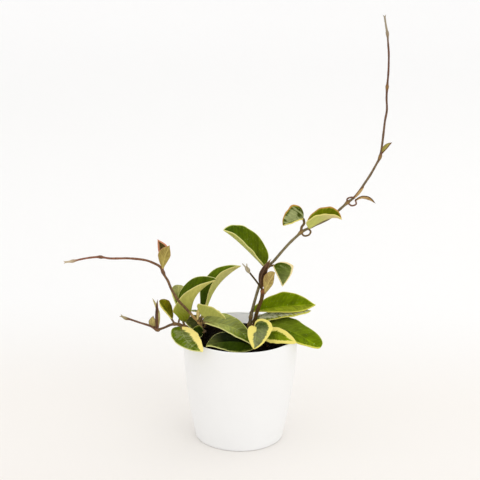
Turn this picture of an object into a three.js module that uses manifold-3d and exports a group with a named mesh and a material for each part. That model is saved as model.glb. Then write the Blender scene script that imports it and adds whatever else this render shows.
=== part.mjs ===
// A small variegated wax plant (hoya) with trailing vines, planted in a plain white pot.
// Millimetres, +Z up. The origin is the middle of the pot's flat underside, and -Y is the front.

import * as THREE from 'three';
import { mergeVertices } from 'three/addons/utils/BufferGeometryUtils.js';
import Module from 'manifold-3d';

const manifoldLibrary = await Module();
manifoldLibrary.setup();

// ---------------------------------------------------------------- driving dimensions

const POT_HEIGHT = 121;
const POT_RIM_RADIUS = 62.5;
const POT_FOOT_RADIUS = 46.8;
const POT_SHOULDER = { radius: 62.3, height: 62 };
const POT_HEEL = { radius: 48.6, height: 3 };
const POT_FOOT_ROUND = { radius: 48.1, height: 1 };
const POT_WALL = 2.5;
const POT_LIP_ROUND = 0.6;
const POT_FLOOR = 4;
const POT_INNER_CORNER = 1;
const POT_SIDES = 40;
const POT_WALL_STEPS = 6;

const SOIL_EDGE_HEIGHT = 107.5;
const SOIL_EDGE_INSET = 0.8;
const SOIL_WALL_TOP = 103.5;
const SOIL_CORNER_INSET = 1.2;
const SOIL_MOUND = 2;
const MOUND_SHARES = [0.9, 0.6, 0.3, 0];
const SEAT_GAP = 0.3;

const HOLE_BOTTOM = 86;
const FOOT_HEIGHTS = [86.5, 97, 108.5, 112];
const HOLE_CLEARANCE = 0.6;
const HOLE_SIDES = 14;

const BLADE = { thickness: 1.2, rows: 10, columns: 3 };
const YOUNG_BLADE = { thickness: 1, rows: 7, columns: 2 };
const BLADE_END_ROUNDNESS = 0.62;
const BLADE_END_WIDTHS = { base: 1, tip: 0.5 };
const FOLDED_WIDTH = 6;
const LARGEST_MITRE = 1.5;
const STALK_SUNK_SHARE = 0.08;
const STALK_RADIUS = 1.1;
const YOUNG_STALK_RADIUS = 0.9;
const FLOWER_STALK_RADIUS = 1;
const FLOWER_KNOB_RADIUS = 2.4;
const FLOWER_KNOB_STEPS = 4;
const BUD_STEPS = 2;
const KNOT_SWELL = 0.7;
const KNOT_LENGTH = 3;

const VINE_SIDES = 8;
const STALK_SIDES = 6;
const RING_SPACING = 7;
const STALK_RING_SPACING = 4;
const LENGTH_STEPS = 400;
const SIDEWAYS = new THREE.Vector3(0.8, 0.6, 0);

// ---------------------------------------------------------------- the plant's layout

// Each vine runs from its foot in the soil to its tip. Knots are the leaf joints, by route point.
const vines = {
  vine_long: {
    radius: [1.75, 0.95],
    knots: [2, 3, 7, 12, 20, 26, 32, 36],
    route: [
      [8, 15, 86.5], [8, 15, 112], [9.5, 14, 123.5], [11, 13, 133.5], [13.5, 12, 146.5],
      [18.5, 10, 167], [23.5, 8, 184], [28.5, 6, 194.5], [35, 4, 202], [43, 2, 213],
      [51.5, 0, 224], [59, -1, 232], [63, -2, 236.5], [67, 1, 238], [72, 4, 239.5],
      [79, 6, 242.5], [88.5, 7, 247], [95, 6, 251.5], [102, 4, 259], [107, 2, 264.5],
      [111.5, 2, 269], [117.5, 3, 273.5], [122.5, 4, 279], [128.5, 6, 288], [135, 8, 298],
      [141, 10, 309], [145, 11, 317.5], [146.5, 12, 329], [147.5, 12, 342], [148.5, 12, 356],
      [150, 12, 368], [149, 11, 381], [149, 10, 393], [149.5, 9, 409], [149, 8, 427],
      [147.5, 7, 440.5], [146.5, 7, 449], [144.5, 7, 458], [143, 8, 466.5],
    ],
  },
  vine_short: {
    radius: [1.9, 2.1],
    knots: [2, 7],
    route: [
      [13.5, 8, 86.5], [13.5, 8, 112], [14.5, 7, 125], [16, 6, 135], [18, 5, 143.5],
      [20.5, 4, 152], [22.5, 2, 159.5], [23.5, 0, 168.5],
    ],
  },
  vine_left: {
    radius: [1.7, 1],
    knots: [2, 3, 11, 18, 21],
    route: [
      [-41, 9, 86.5], [-41, 9, 112], [-43, 7, 120.5], [-45, 3, 129.5], [-50, -1, 136],
      [-55, -6, 144], [-60.5, -9, 151.5], [-68, -13, 161.5], [-74.5, -14, 173],
      [-78.5, -14, 183], [-82, -14, 189], [-84, -14, 193.5], [-87, -14, 199],
      [-92.5, -14, 202.5], [-103, -13, 206], [-119.5, -11, 207], [-130, -10, 206.5],
      [-141, -9, 206], [-150.5, -8, 207], [-157, -7, 206.5], [-168, -6, 204.5],
      [-182, -4, 200.5], [-189.5, -3, 199],
    ],
  },
  vine_low: {
    radius: [1.7, 1],
    knots: [3, 4, 5, 9, 13],
    route: [
      [-50, 2, 86.5], [-50, 2, 112], [-54, 1, 120.5], [-60.5, -2, 126.5], [-67, -4, 129.5],
      [-71.5, -6, 131], [-76.5, -8, 130.5], [-82, -10, 128.5], [-87.5, -12, 127],
      [-90.5, -12, 126], [-98, -13, 131], [-109, -14, 135], [-119.5, -15, 139],
      [-124, -15, 140], [-128.5, -15, 142.5],
    ],
  },
};

// A blade is set by its rib (a curve from base to tip), the two halves' widths either side of the
// rib (left and right, seen from above with the tip away), the way its upper face looks at base
// and tip, and how far each half is folded up from the rib in degrees. belly is where along the
// rib it is widest, and point is how drawn-out the tip is. stalk is the radius of a leaf stalk that
// isn't of the usual thickness.
const leaves = [
  {
    name: 'leaf_arching_front', vine: 'vine_low', knot: 3, stalk: 1.3, via: [],
    rib: [[-63, 6.5, 129.5], [-47, 1.5, 138.5], [-67, 13, 155], [-27, 9, 178]],
    half: [24.5, 22.5], look: [[-1, 0, 0.2], [-0.6, 0.1, 0.8]], fold: [41, 55],
    belly: [0.59, 0.36], point: [0.1, 0.6],
  },
  {
    name: 'leaf_arching_back', vine: 'vine_left', knot: 3, via: [],
    rib: [[-40, 11.5, 131], [-37, 31, 164.5], [-0.5, 31.5, 186.5]],
    half: [21, 10], look: [[-1, 0, 0.2], [-0.5, 0.1, 0.9]], fold: [39, 51],
    belly: [0.57, 0.7], point: [0.5, 0.4],
  },
  {
    name: 'leaf_curled_middle', vine: 'vine_left', knot: 3, via: [],
    rib: [[-41.5, -5.5, 140], [-31.5, -14.5, 148], [-16, -27.5, 146]],
    half: [8, 14.5], look: [[-0.2, 0.1, 1], [0.1, -0.2, 1]], fold: [30, 80],
    belly: [0.42, 0.12], point: [0.5, -0.1],
  },
  {
    name: 'leaf_long_middle', vine: 'vine_left', knot: 2, via: [[-38.5, 2, 127]],
    rib: [[-41, -6.5, 133.5], [1, -20.5, 138.5], [13, -44, 122]],
    half: [15.5, 11], look: [[0, -0.4, 0.9], [0.1, -0.3, 1]], fold: [8, 5],
    belly: [0.22, 0.57], point: [0.5, 0.5],
  },
  {
    name: 'leaf_low_left', vine: 'vine_left', knot: 2, via: [],
    rib: [[-43, 16, 122], [-52, 18, 125], [-63, 19, 125]],
    half: [9, 10], look: [[0, -0.7, 1], [0, -0.7, 1]], fold: [0, 0],
    belly: [0.42, 0.42], point: [0.5, 0.5],
  },
  {
    name: 'leaf_behind_left', vine: 'vine_left', knot: 3, via: [[-46.5, 13, 127]],
    rib: [[-42, 26, 131.5], [-50, 30, 134.5], [-58, 33, 132]],
    half: [7, 7], look: [[0, 0.3, 0.94], [0, 0.3, 0.94]], fold: [0, 0],
    belly: [0.42, 0.42], point: [0.5, 0.5],
  },
  {
    name: 'leaf_inside_left', vine: 'vine_left', knot: 2, stalk: 1, via: [[-38.5, -1, 121.5]],
    rib: [[-40.5, -8.5, 122.5], [-46, -8.5, 123], [-55, -9, 122]],
    half: [7, 9], look: [[0, -0.8, 1], [0, -0.8, 1]], fold: [0, 0],
    belly: [0.42, 0.42], point: [0.5, 0.5],
  },
  {
    name: 'leaf_over_rim', vine: 'vine_low', knot: 4, via: [],
    rib: [[-64.5, -11.5, 129.5], [-61, -40.5, 121], [-39.5, -66, 123]],
    half: [15.5, 13.5], look: [[0, -0.4, 0.9], [0, -0.7, 0.7]], fold: [-2, 11],
    belly: [0.35, 0.29], point: [0, 0.5],
  },
  {
    name: 'leaf_small_left', vine: 'vine_low', knot: 5, via: [],
    rib: [[-75, 0, 134], [-85.5, 4.5, 155.5], [-89.5, 5.5, 152]],
    half: [5.5, 7.5], look: [[0.4, -0.6, 0.7], [0, -0.4, 0.9]], fold: [10, 11],
    belly: [0.51, 0.45], point: [0.5, 0.5],
  },
  {
    name: 'leaf_upright_left', vine: 'vine_low', knot: 4, via: [[-68, 8, 128]],
    rib: [[-67, 18, 131], [-71, 26, 156], [-69, 44, 158]],
    half: [8, 9], look: [[-0.2, -1, 0.3], [-0.1, 0, 1]], fold: [10, 10],
    belly: [0.72, 0.6], point: [-0.2, 0],
  },
  {
    name: 'leaf_front', foot: [9, -19], via: [[12, -27, 115.5]],
    rib: [[16, -36, 118.5], [-11, -42.5, 131], [-36.5, -50.5, 123]],
    half: [12.5, 19], look: [[0, -0.7, 0.7], [-0.3, -0.4, 0.9]], fold: [-9, -18],
    belly: [0.43, 0.64], point: [0.6, 0.4],
  },
  {
    name: 'leaf_cupped_front', vine: 'vine_short', knot: 2, via: [],
    rib: [[16, -21, 133], [18.5, -36.5, 146.5], [14, -58, 124]],
    half: [17.5, 10.5], look: [[-0.1, -0.7, 0.6], [0.2, -0.8, 0.6]], fold: [15, 23],
    belly: [0.44, 0.68], point: [0, 0.2],
  },
  {
    name: 'leaf_low_right', vine: 'vine_short', knot: 2, via: [[18.5, 1, 121.5], [22, -11, 123]],
    rib: [[23.5, -24, 127.5], [38, -26.5, 131.5], [60, -36, 123]],
    half: [9.5, 13], look: [[0, -0.4, 0.9], [0.2, -0.5, 0.9]], fold: [13, 1],
    belly: [0.44, 0.39], point: [0.2, 0],
  },
  {
    name: 'leaf_broad_right', vine: 'vine_short', knot: 2, via: [[20, 3.5, 128.5]],
    rib: [[26, -2.5, 128.5], [47.5, -11, 134], [86, -31.5, 116]],
    half: [20, 14.5], look: [[0.1, -0.2, 1], [0.2, -0.6, 0.8]], fold: [3, 2],
    belly: [0.38, 0.43], point: [-0.3, -0.1],
  },
  {
    name: 'leaf_upper_right', vine: 'vine_long', knot: 3, via: [],
    rib: [[11, 20, 137], [51.5, 13, 148.5], [82, 8, 150.5]],
    half: [16, 13], look: [[0, -0.4, 0.9], [0, -0.5, 0.9]], fold: [36, 12],
    belly: [0.49, 0.63], point: [0.6, 0.3],
  },
  {
    name: 'leaf_under_right', vine: 'vine_long', knot: 2, via: [],
    rib: [[17, 19, 131], [48, 8, 140.5], [76.5, 2, 146]],
    half: [12, 16.5], look: [[0, -0.1, 1], [0, 0, 1]], fold: [0, 2],
    belly: [0.45, 0.36], point: [0.5, -0.25],
  },
  {
    name: 'leaf_high_left', vine: 'vine_long', knot: 7, via: [],
    rib: [[24.5, 3, 196], [-8.5, 4, 230.5], [-20, -8.5, 239.5]],
    half: [18, 21.5], look: [[0.7, -0.2, 0.7], [0.4, 0, 0.9]], fold: [27, 41],
    belly: [0.47, 0.33], point: [0.6, 0.3],
  },
  {
    name: 'leaf_hanging', vine: 'vine_long', knot: 7, via: [],
    rib: [[34.5, 0, 198], [38.5, -2, 195], [44.5, -8, 176.5]],
    half: [18, 8.5], look: [[0.1, -0.7, 0.7], [0.5, -0.8, 0.3]], fold: [10, 55],
    belly: [0.52, 0.5], point: [0.4, 0.5],
  },
  {
    name: 'leaf_node_left', vine: 'vine_long', knot: 12, stalk: 1.4,
    via: [[63.5, -1.5, 242], [66, -1, 246]],
    rib: [[65, -0.5, 251], [58.5, -1.5, 253], [43.5, -5.5, 244.5]],
    half: [12.5, 16], look: [[0, -0.2, 1], [-0.2, -0.3, 0.9]], fold: [24, 43],
    belly: [0.53, 0.38], point: [0.4, 0],
  },
  {
    name: 'leaf_node_right', vine: 'vine_long', knot: 12, stalk: 1,
    via: [[66, -5, 233.5], [71, -7, 235], [73, -7, 239]],
    rib: [[70.5, -5, 242], [96, -0.5, 259], [105.5, -8, 253]],
    half: [14.5, 18.5], look: [[-0.4, -0.1, 0.9], [0.4, -0.4, 0.8]], fold: [35, 51],
    belly: [0.36, 0.17], point: [0.5, 0.2],
  },
];

// Young leaves, still fused to the vine that bears them.
const youngLeaves = [
  {
    vine: 'vine_left', from: [-46.5, 1.5, 131.5],
    rib: [[-47, -1.5, 135], [-46.5, -3, 143], [-44.5, -3.5, 151]],
    half: [2.5, 2.5], look: [[0.2, 1, 0.2], [0.2, 1, 0.2]], fold: [20, 20],
    belly: [0.5, 0.5], point: [0.5, 0.5],
  },
  {
    vine: 'vine_left', from: [-84, -14, 193.5],
    rib: [[-84, -16, 198.5], [-83, -23, 213], [-76.5, -19, 225]],
    half: [6.5, 8], look: [[0, 1, 0.3], [0, 1, 0.6]], fold: [25, 25],
    belly: [0.55, 0.55], point: [0.5, 0.5],
  },
  {
    vine: 'vine_left', from: [-84, -14, 193.5],
    rib: [[-84, -12, 197], [-84.5, -3, 210], [-90, -8, 228]],
    half: [3, 9], look: [[0, -1, 0.3], [0, -1, 0.3]], fold: [10, 10],
    belly: [0.6, 0.6], point: [0.5, 0.5],
  },
  {
    vine: 'vine_low', from: [-90.5, -12, 126],
    rib: [[-90.5, -16, 130], [-92.5, -19, 146.5], [-89.5, -17, 163]],
    half: [6, 3], look: [[1, 0.1, 0], [1, 0.1, 0]], fold: [20, 40],
    belly: [0.45, 0.45], point: [0.5, 0.5],
  },
  {
    vine: 'vine_low', from: [-90.5, -12, 126],
    rib: [[-92.5, -10, 128.5], [-96.5, -10, 133], [-95, -8, 141]],
    half: [5, 5], look: [[-0.5, -1, 0.5], [-0.3, -1, 0.2]], fold: [10, 10],
    belly: [0.45, 0.45], point: [0.5, 0.5],
  },
  {
    vine: 'vine_low', from: [-90.5, -12, 126],
    rib: [[-89.5, -7, 128], [-89, -1, 142.5], [-96, -2, 159]],
    half: [4, 4], look: [[1, -0.2, 0], [1, -0.2, 0]], fold: [20, 20],
    belly: [0.45, 0.45], point: [0.5, 0.5],
  },
  {
    vine: 'vine_short', from: [23.5, 0, 168.5],
    rib: [[22.5, -1, 171], [17, -6, 187], [31.5, -8, 208]],
    half: [5, 4], look: [[0.3, 0.9, 0.2], [0.3, 0.9, 0.2]], fold: [25, 25],
    belly: [0.5, 0.5], point: [0.5, 0.5],
  },
  {
    vine: 'vine_short', from: [22.5, 2, 163],
    rib: [[25.5, -5, 167.5], [26.5, -13, 181], [36, -11, 193.5]],
    half: [6, 7.5], look: [[0, 1, 0.2], [0, 1, 0.3]], fold: [20, 20],
    belly: [0.5, 0.72], point: [0.5, -0.2],
  },
  {
    vine: 'vine_long', from: [111.5, 2, 269], via: [[111, 0, 273.5], [114.5, -2, 276]],
    rib: [[118, -2, 276], [125, -4, 281.5], [128, -3, 289]],
    half: [3, 3], look: [[-0.6, 0.5, 0.6], [-0.6, 0.5, 0.6]], fold: [40, 40],
    belly: [0.5, 0.5], point: [0.5, 0.5],
  },
  {
    vine: 'vine_long', from: [111.5, 2, 269], via: [[116, -1, 266.5], [120.5, -3, 269]],
    rib: [[119.5, -3, 273.5], [131, -5, 281.5], [140.5, -7, 271]],
    half: [6, 3], look: [[-0.3, 0.6, 0.7], [0.4, 0.6, 0.7]], fold: [10, 10],
    belly: [0.5, 0.5], point: [0.5, 0.5],
  },
  {
    vine: 'vine_long', from: [145.5, 11, 319],
    rib: [[146.5, 8, 322.5], [149.5, 4, 330.5], [156, 2, 335.5]],
    half: [3, 3], look: [[0, -0.6, 0.8], [0.2, -0.6, 0.8]], fold: [20, 20],
    belly: [0.45, 0.45], point: [0.5, 0.5],
  },
];

// The flower stalk on the short vine, with its small knob and two buds.
const flowerStalk = {
  route: [[23.5, 0, 168.5], [19, -4, 177], [14, -6, 184.5], [8, -7, 192.5]],
  knob: [[8.5, -7, 191.5], [6.5, -7, 195], [4.5, -7, 198]],
  buds: [[[5, -7, 197], [1, -7, 201.5]], [[6, -7, 196], [5.5, -7, 201.5]]],
};

// ---------------------------------------------------------------- solids from meshes

function solidOf(geometry) {
  const bare = new THREE.BufferGeometry();
  bare.setAttribute('position', geometry.getAttribute('position'));
  bare.setIndex(geometry.getIndex());
  const merged = mergeVertices(bare, 1e-4);
  return new manifoldLibrary.Manifold(new manifoldLibrary.Mesh({
    numProp: 3,
    vertProperties: new Float32Array(merged.getAttribute('position').array),
    triVerts: new Uint32Array(merged.getIndex().array),
  }));
}

function geometryOf(solid) {
  const mesh = solid.getMesh();
  const geometry = new THREE.BufferGeometry();
  geometry.setAttribute('position', new THREE.BufferAttribute(mesh.vertProperties, 3));
  geometry.setIndex(new THREE.BufferAttribute(mesh.triVerts, 1));
  return geometry;
}

// Skins a row of closed rings into one closed body. capQuads lists the ring corners of the quads
// that close each end.
function skinRings(rings, capQuads) {
  const size = rings[0].length;
  const positions = [];
  const faces = [];
  for (const ring of rings) {
    for (const point of ring) {
      positions.push(point.x, point.y, point.z);
    }
  }
  for (let row = 0; row + 1 < rings.length; row += 1) {
    for (let corner = 0; corner < size; corner += 1) {
      const here = row * size + corner;
      const next = row * size + (corner + 1) % size;
      faces.push(here, next, next + size);
      faces.push(here, next + size, here + size);
    }
  }
  const last = (rings.length - 1) * size;
  for (const [a, b, c, d] of capQuads) {
    faces.push(a, d, c, a, c, b);
    faces.push(last + a, last + b, last + c, last + a, last + c, last + d);
  }
  const geometry = new THREE.BufferGeometry();
  geometry.setAttribute('position', new THREE.Float32BufferAttribute(positions, 3));
  geometry.setIndex(faces);
  return geometry;
}

// ---------------------------------------------------------------- stems and stalks

function vector(point) {
  return new THREE.Vector3(...point);
}

function curveThrough(points) {
  return new THREE.CatmullRomCurve3(points.map(vector), false, 'catmullrom', 0.5);
}

// A round stem along a curve, with a ring at each of the shares of its length; radiusAt gives the
// radius there. Each ring is turned as little as possible from the one before.
function sweepStem(curve, shares, sides, radiusAt) {
  const rings = [];
  let across = SIDEWAYS.clone();
  for (const share of shares) {
    const middle = curve.getPointAt(share);
    const along = curve.getTangentAt(share);
    across = across.clone().addScaledVector(along, -across.dot(along)).normalize();
    const square = along.clone().cross(across);
    const radius = radiusAt(share);
    const ring = [];
    for (let side = 0; side < sides; side += 1) {
      const angle = 2 * Math.PI * side / sides;
      ring.push(middle.clone()
        .addScaledVector(across, radius * Math.cos(angle))
        .addScaledVector(square, radius * Math.sin(angle)));
    }
    rings.push(ring);
  }
  const capQuads = [];
  for (let side = 0; side < sides / 2 - 1; side += 1) {
    capQuads.push([side, side + 1, sides - 2 - side, sides - 1 - side]);
  }
  return solidOf(skinRings(rings, capQuads));
}

function evenShares(steps) {
  return Array.from({ length: steps + 1 }, (_, step) => step / steps);
}

// How much a vine is swollen at a distance from the middle of a knot.
function knotSwelling(distance) {
  return KNOT_SWELL * Math.exp(-((distance / KNOT_LENGTH) ** 2));
}

function vineRadius(vine, share) {
  return THREE.MathUtils.lerp(vine.radius[0], vine.radius[1], share);
}

// The share of a vine's length at which one of its route points lies.
function shareOfPoint(curve, index) {
  const lengths = curve.getLengths(LENGTH_STEPS);
  const position = index / (curve.points.length - 1) * LENGTH_STEPS;
  return lengths[Math.round(position)] / lengths[LENGTH_STEPS];
}

// Rings at both ends of a vine, three about each knot, and others a RING_SPACING apart between.
function vineShares(knots, length) {
  const step = KNOT_LENGTH / length;
  const fixed = knots.flatMap((knot) => [knot - step, knot, knot + step]);
  const stops = [0, ...fixed.filter((share) => share > 0 && share < 1), 1].sort((a, b) => a - b);
  const shares = [0];
  for (let stop = 1; stop < stops.length; stop += 1) {
    const run = stops[stop] - stops[stop - 1];
    const pieces = Math.max(1, Math.round(run * length / RING_SPACING));
    for (let piece = 1; piece <= pieces; piece += 1) {
      shares.push(stops[stop - 1] + run * piece / pieces);
    }
  }
  return shares;
}

function makeVineStem(vine) {
  const curve = curveThrough(vine.route);
  const length = curve.getLength();
  const knots = vine.knots.map((index) => shareOfPoint(curve, index));
  return sweepStem(curve, vineShares(knots, length), VINE_SIDES, (share) => {
    const swelling = knots.map((knot) => knotSwelling((share - knot) * length));
    return vineRadius(vine, share) + Math.max(...swelling);
  });
}

// Where a leaf stalk leaves its vine: just clear of the surface of the knot. A stalk that leans
// towards the vine on either side of the knot starts further out.
function stalkStart(vine, knot, next, stalkRadius) {
  const middle = vector(vine.route[knot]);
  const outward = vector(next).sub(middle).normalize();
  const leans = [knot - 1, knot + 1].map((index) => (
    vector(vine.route[index]).sub(middle).normalize().dot(outward)
  ));
  const lean = Math.max(0, ...leans);
  const square = Math.sqrt(1 - lean * lean);
  const radius = vineRadius(vine, shareOfPoint(curveThrough(vine.route), knot));
  const bare = (radius + stalkRadius * lean) / square;
  const clear = bare + (knotSwelling(bare * lean) + SEAT_GAP) / square;
  return middle.addScaledVector(outward, clear).toArray();
}

function makeStalk(points, radius) {
  const curve = curveThrough(points);
  const steps = Math.max(2, Math.ceil(curve.getLength() / STALK_RING_SPACING));
  return sweepStem(curve, evenShares(steps), STALK_SIDES, () => radius);
}

// ---------------------------------------------------------------- leaf blades

// A Bezier curve of any degree at a share of its way.
function bezierPoint(points, share) {
  let row = points.map((point) => (point.isVector3 ? point.clone() : vector(point)));
  while (row.length > 1) {
    row = row.slice(1).map((point, index) => row[index].clone().lerp(point, share));
  }
  return row[0];
}

function bezierDirection(points, share) {
  const steps = points.slice(1).map((point, index) => vector(point).sub(vector(points[index])));
  return bezierPoint(steps, share).normalize();
}

// Half-width along the rib as a share of the greatest: round at the base, drawn out at the tip.
function outline(share, belly, point) {
  const bent = share ** (Math.log(0.5) / Math.log(belly));
  return Math.max(Math.sin(Math.PI * bent), 0) ** (BLADE_END_ROUNDNESS + point * share);
}

function bladeFrame(leaf, share) {
  const along = bezierDirection(leaf.rib, share);
  const look = vector(leaf.look[0]).normalize().multiplyScalar(1 - share)
    .addScaledVector(vector(leaf.look[1]).normalize(), share);
  const up = look.addScaledVector(along, -look.dot(along)).normalize();
  return { along, up, right: along.clone().cross(up) };
}

// One row of points across the blade: its upper face from left to right, then its lower face back.
// Where the blade is narrower than FOLDED_WIDTH its halves flatten out, so the faces stay apart.
function bladeRow(leaf, share, blade) {
  const middle = bezierPoint(leaf.rib, share);
  const { up, right } = bladeFrame(leaf, share);
  const narrowest = blade.thickness * (share < 0.5 ? BLADE_END_WIDTHS.base : BLADE_END_WIDTHS.tip);
  const upper = [];
  const lower = [];
  for (let column = -blade.columns; column <= blade.columns; column += 1) {
    const side = column < 0 ? 0 : 1;
    const sign = Math.sign(column);
    const widest = leaf.half[side] * outline(share, leaf.belly[side], leaf.point[side]);
    const width = Math.max(widest, narrowest);
    const fold = THREE.MathUtils.degToRad(leaf.fold[side]);
    const opened = Math.min(1, width / FOLDED_WIDTH);
    const outward = right.clone().multiplyScalar(sign * Math.cos(fold))
      .addScaledVector(up, Math.sin(fold));
    const point = middle.clone().addScaledVector(outward, width * Math.abs(column) / blade.columns);
    const normal = right.clone().multiplyScalar(-sign * Math.sin(fold) * opened)
      .addScaledVector(up, THREE.MathUtils.lerp(1, Math.cos(fold), opened)).normalize();
    const mitre = column === 0 ? Math.min(LARGEST_MITRE, 1 / Math.cos(fold * opened)) : 1;
    normal.multiplyScalar(mitre * blade.thickness / 2);
    upper.push(point.clone().add(normal));
    lower.unshift(point.clone().sub(normal));
  }
  return [...upper, ...lower];
}

function makeBlade(leaf, blade) {
  const rings = evenShares(blade.rows).map((share) => bladeRow(leaf, share, blade));
  const size = rings[0].length;
  const capQuads = [];
  for (let column = 0; column < 2 * blade.columns; column += 1) {
    capQuads.push([column, column + 1, size - 2 - column, size - 1 - column]);
  }
  return solidOf(skinRings(rings, capQuads));
}

// The stalk runs on a little way under the blade along its rib.
function stalkEnd(leaf) {
  return [0, STALK_SUNK_SHARE].map((share) => bezierPoint(leaf.rib, share).toArray());
}

function makeLeaf(leaf) {
  const radius = leaf.stalk ?? STALK_RADIUS;
  const next = leaf.via[0] ?? leaf.rib[0];
  const start = leaf.foot
    ? FOOT_HEIGHTS.map((height) => [...leaf.foot, height])
    : [stalkStart(vines[leaf.vine], leaf.knot, next, radius)];
  const points = [...start, ...leaf.via, ...stalkEnd(leaf)];
  return makeBlade(leaf, BLADE).add(makeStalk(points, radius));
}

function makeYoungLeaf(leaf) {
  const points = [leaf.from, ...(leaf.via ?? []), ...stalkEnd(leaf)];
  return makeBlade(leaf, YOUNG_BLADE).add(makeStalk(points, YOUNG_STALK_RADIUS));
}

// ---------------------------------------------------------------- whole vines

function makeFlowerStalk() {
  const stem = makeStalk(flowerStalk.route, FLOWER_STALK_RADIUS);
  const swell = FLOWER_KNOB_RADIUS - FLOWER_STALK_RADIUS;
  const knobShares = evenShares(FLOWER_KNOB_STEPS);
  const knob = sweepStem(curveThrough(flowerStalk.knob), knobShares, STALK_SIDES,
    (share) => FLOWER_STALK_RADIUS + swell * Math.sin(Math.PI * share));
  const buds = flowerStalk.buds.map((route) => (
    sweepStem(curveThrough(route), evenShares(BUD_STEPS), STALK_SIDES,
      (share) => FLOWER_STALK_RADIUS * (1 - share / 2))
  ));
  return buds.reduce((whole, bud) => whole.add(bud), stem.add(knob));
}

function makeVine(name) {
  let vine = makeVineStem(vines[name]);
  for (const leaf of youngLeaves.filter((young) => young.vine === name)) {
    vine = vine.add(makeYoungLeaf(leaf));
  }
  return name === 'vine_short' ? vine.add(makeFlowerStalk()) : vine;
}

// ---------------------------------------------------------------- pot and soil

// Points up the pot's outer wall, from heel to just under the rim.
function wallPoints(inset, top) {
  const curve = new THREE.QuadraticBezierCurve(
    new THREE.Vector2(POT_HEEL.radius - inset, POT_HEEL.height),
    new THREE.Vector2(POT_SHOULDER.radius - inset, POT_SHOULDER.height),
    new THREE.Vector2(POT_RIM_RADIUS - inset, top),
  );
  return curve.getPoints(POT_WALL_STEPS);
}

function makePot() {
  const wallTop = POT_HEIGHT - POT_LIP_ROUND;
  const profile = [
    new THREE.Vector2(0, 0),
    new THREE.Vector2(POT_FOOT_RADIUS, 0),
    new THREE.Vector2(POT_FOOT_ROUND.radius, POT_FOOT_ROUND.height),
    ...wallPoints(0, wallTop),
    new THREE.Vector2(POT_RIM_RADIUS - POT_LIP_ROUND, POT_HEIGHT),
    new THREE.Vector2(POT_RIM_RADIUS - POT_WALL + POT_LIP_ROUND, POT_HEIGHT),
    ...wallPoints(POT_WALL, wallTop).reverse().slice(0, -1),
    new THREE.Vector2(POT_HEEL.radius - POT_WALL - POT_INNER_CORNER, POT_FLOOR),
    new THREE.Vector2(0, POT_FLOOR),
  ];
  const geometry = new THREE.LatheGeometry(profile, POT_SIDES);
  geometry.rotateX(Math.PI / 2);
  return solidOf(geometry);
}

function soilProfile() {
  const inset = POT_WALL + SEAT_GAP;
  const wall = wallPoints(inset, POT_HEIGHT).slice(1).filter((point) => point.y < SOIL_WALL_TOP);
  const edge = POT_RIM_RADIUS - inset - SOIL_EDGE_INSET;
  const mound = MOUND_SHARES.map((share) => (
    new THREE.Vector2(share * edge, SOIL_EDGE_HEIGHT + SOIL_MOUND * (1 - share * share))
  ));
  return [
    new THREE.Vector2(0, POT_FLOOR + SEAT_GAP),
    new THREE.Vector2(POT_HEEL.radius - inset - SOIL_CORNER_INSET, POT_FLOOR + SEAT_GAP),
    ...wall,
    new THREE.Vector2(edge, SOIL_EDGE_HEIGHT),
    ...mound,
  ];
}

function makeHole([x, y], radius) {
  const top = SOIL_EDGE_HEIGHT + 2 * SOIL_MOUND;
  const hole = new THREE.CylinderGeometry(radius, radius, top - HOLE_BOTTOM, HOLE_SIDES);
  hole.rotateX(Math.PI / 2);
  hole.translate(x, y, (top + HOLE_BOTTOM) / 2);
  return solidOf(hole);
}

function makeSoil() {
  const geometry = new THREE.LatheGeometry(soilProfile(), POT_SIDES);
  geometry.rotateX(Math.PI / 2);
  let soil = solidOf(geometry);
  for (const vine of Object.values(vines)) {
    soil = soil.subtract(makeHole(vine.route[0], vine.radius[0] + HOLE_CLEARANCE));
  }
  for (const leaf of leaves.filter((each) => each.foot)) {
    soil = soil.subtract(makeHole(leaf.foot, STALK_RADIUS + HOLE_CLEARANCE));
  }
  return soil;
}

// ---------------------------------------------------------------- the part

const plant = new THREE.Group();

function place(name, solid, colour, roughness) {
  const material = new THREE.MeshStandardMaterial({ color: colour, roughness, metalness: 0 });
  const mesh = new THREE.Mesh(geometryOf(solid), material);
  mesh.name = name;
  plant.add(mesh);
}

place('pot', makePot(), 0xf3f1ec, 0.35);
place('soil', makeSoil(), 0x241c17, 0.95);
for (const name of Object.keys(vines)) {
  place(name, makeVine(name), 0x6f5a41, 0.6);
}
for (const leaf of leaves) {
  place(leaf.name, makeLeaf(leaf), 0x54700f, 0.35);
}

export default plant;
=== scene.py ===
"""A small variegated wax plant (hoya) with trailing vines, in a plain white pot.

Lengths are in millimetres until a mesh is made. The origin is the middle of the pot's flat
underside, +Z is up and -Y is the front.
"""

import math

import bpy
import numpy as np
from mathutils import Matrix, Vector


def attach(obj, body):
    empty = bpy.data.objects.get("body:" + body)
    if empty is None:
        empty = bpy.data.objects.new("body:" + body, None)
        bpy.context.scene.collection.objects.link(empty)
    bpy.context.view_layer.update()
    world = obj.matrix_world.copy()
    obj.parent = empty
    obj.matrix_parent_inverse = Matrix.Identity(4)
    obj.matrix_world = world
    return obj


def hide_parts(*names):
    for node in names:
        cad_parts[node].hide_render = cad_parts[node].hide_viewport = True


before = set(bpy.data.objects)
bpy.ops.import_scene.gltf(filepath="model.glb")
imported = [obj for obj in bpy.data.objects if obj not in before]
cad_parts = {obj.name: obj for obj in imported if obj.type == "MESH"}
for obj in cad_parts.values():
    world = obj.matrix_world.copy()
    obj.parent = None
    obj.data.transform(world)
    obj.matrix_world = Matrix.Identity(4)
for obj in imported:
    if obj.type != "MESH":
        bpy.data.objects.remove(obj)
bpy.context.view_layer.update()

MM = 0.001
SEED = 7

# ---------------- driving dimensions

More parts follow.
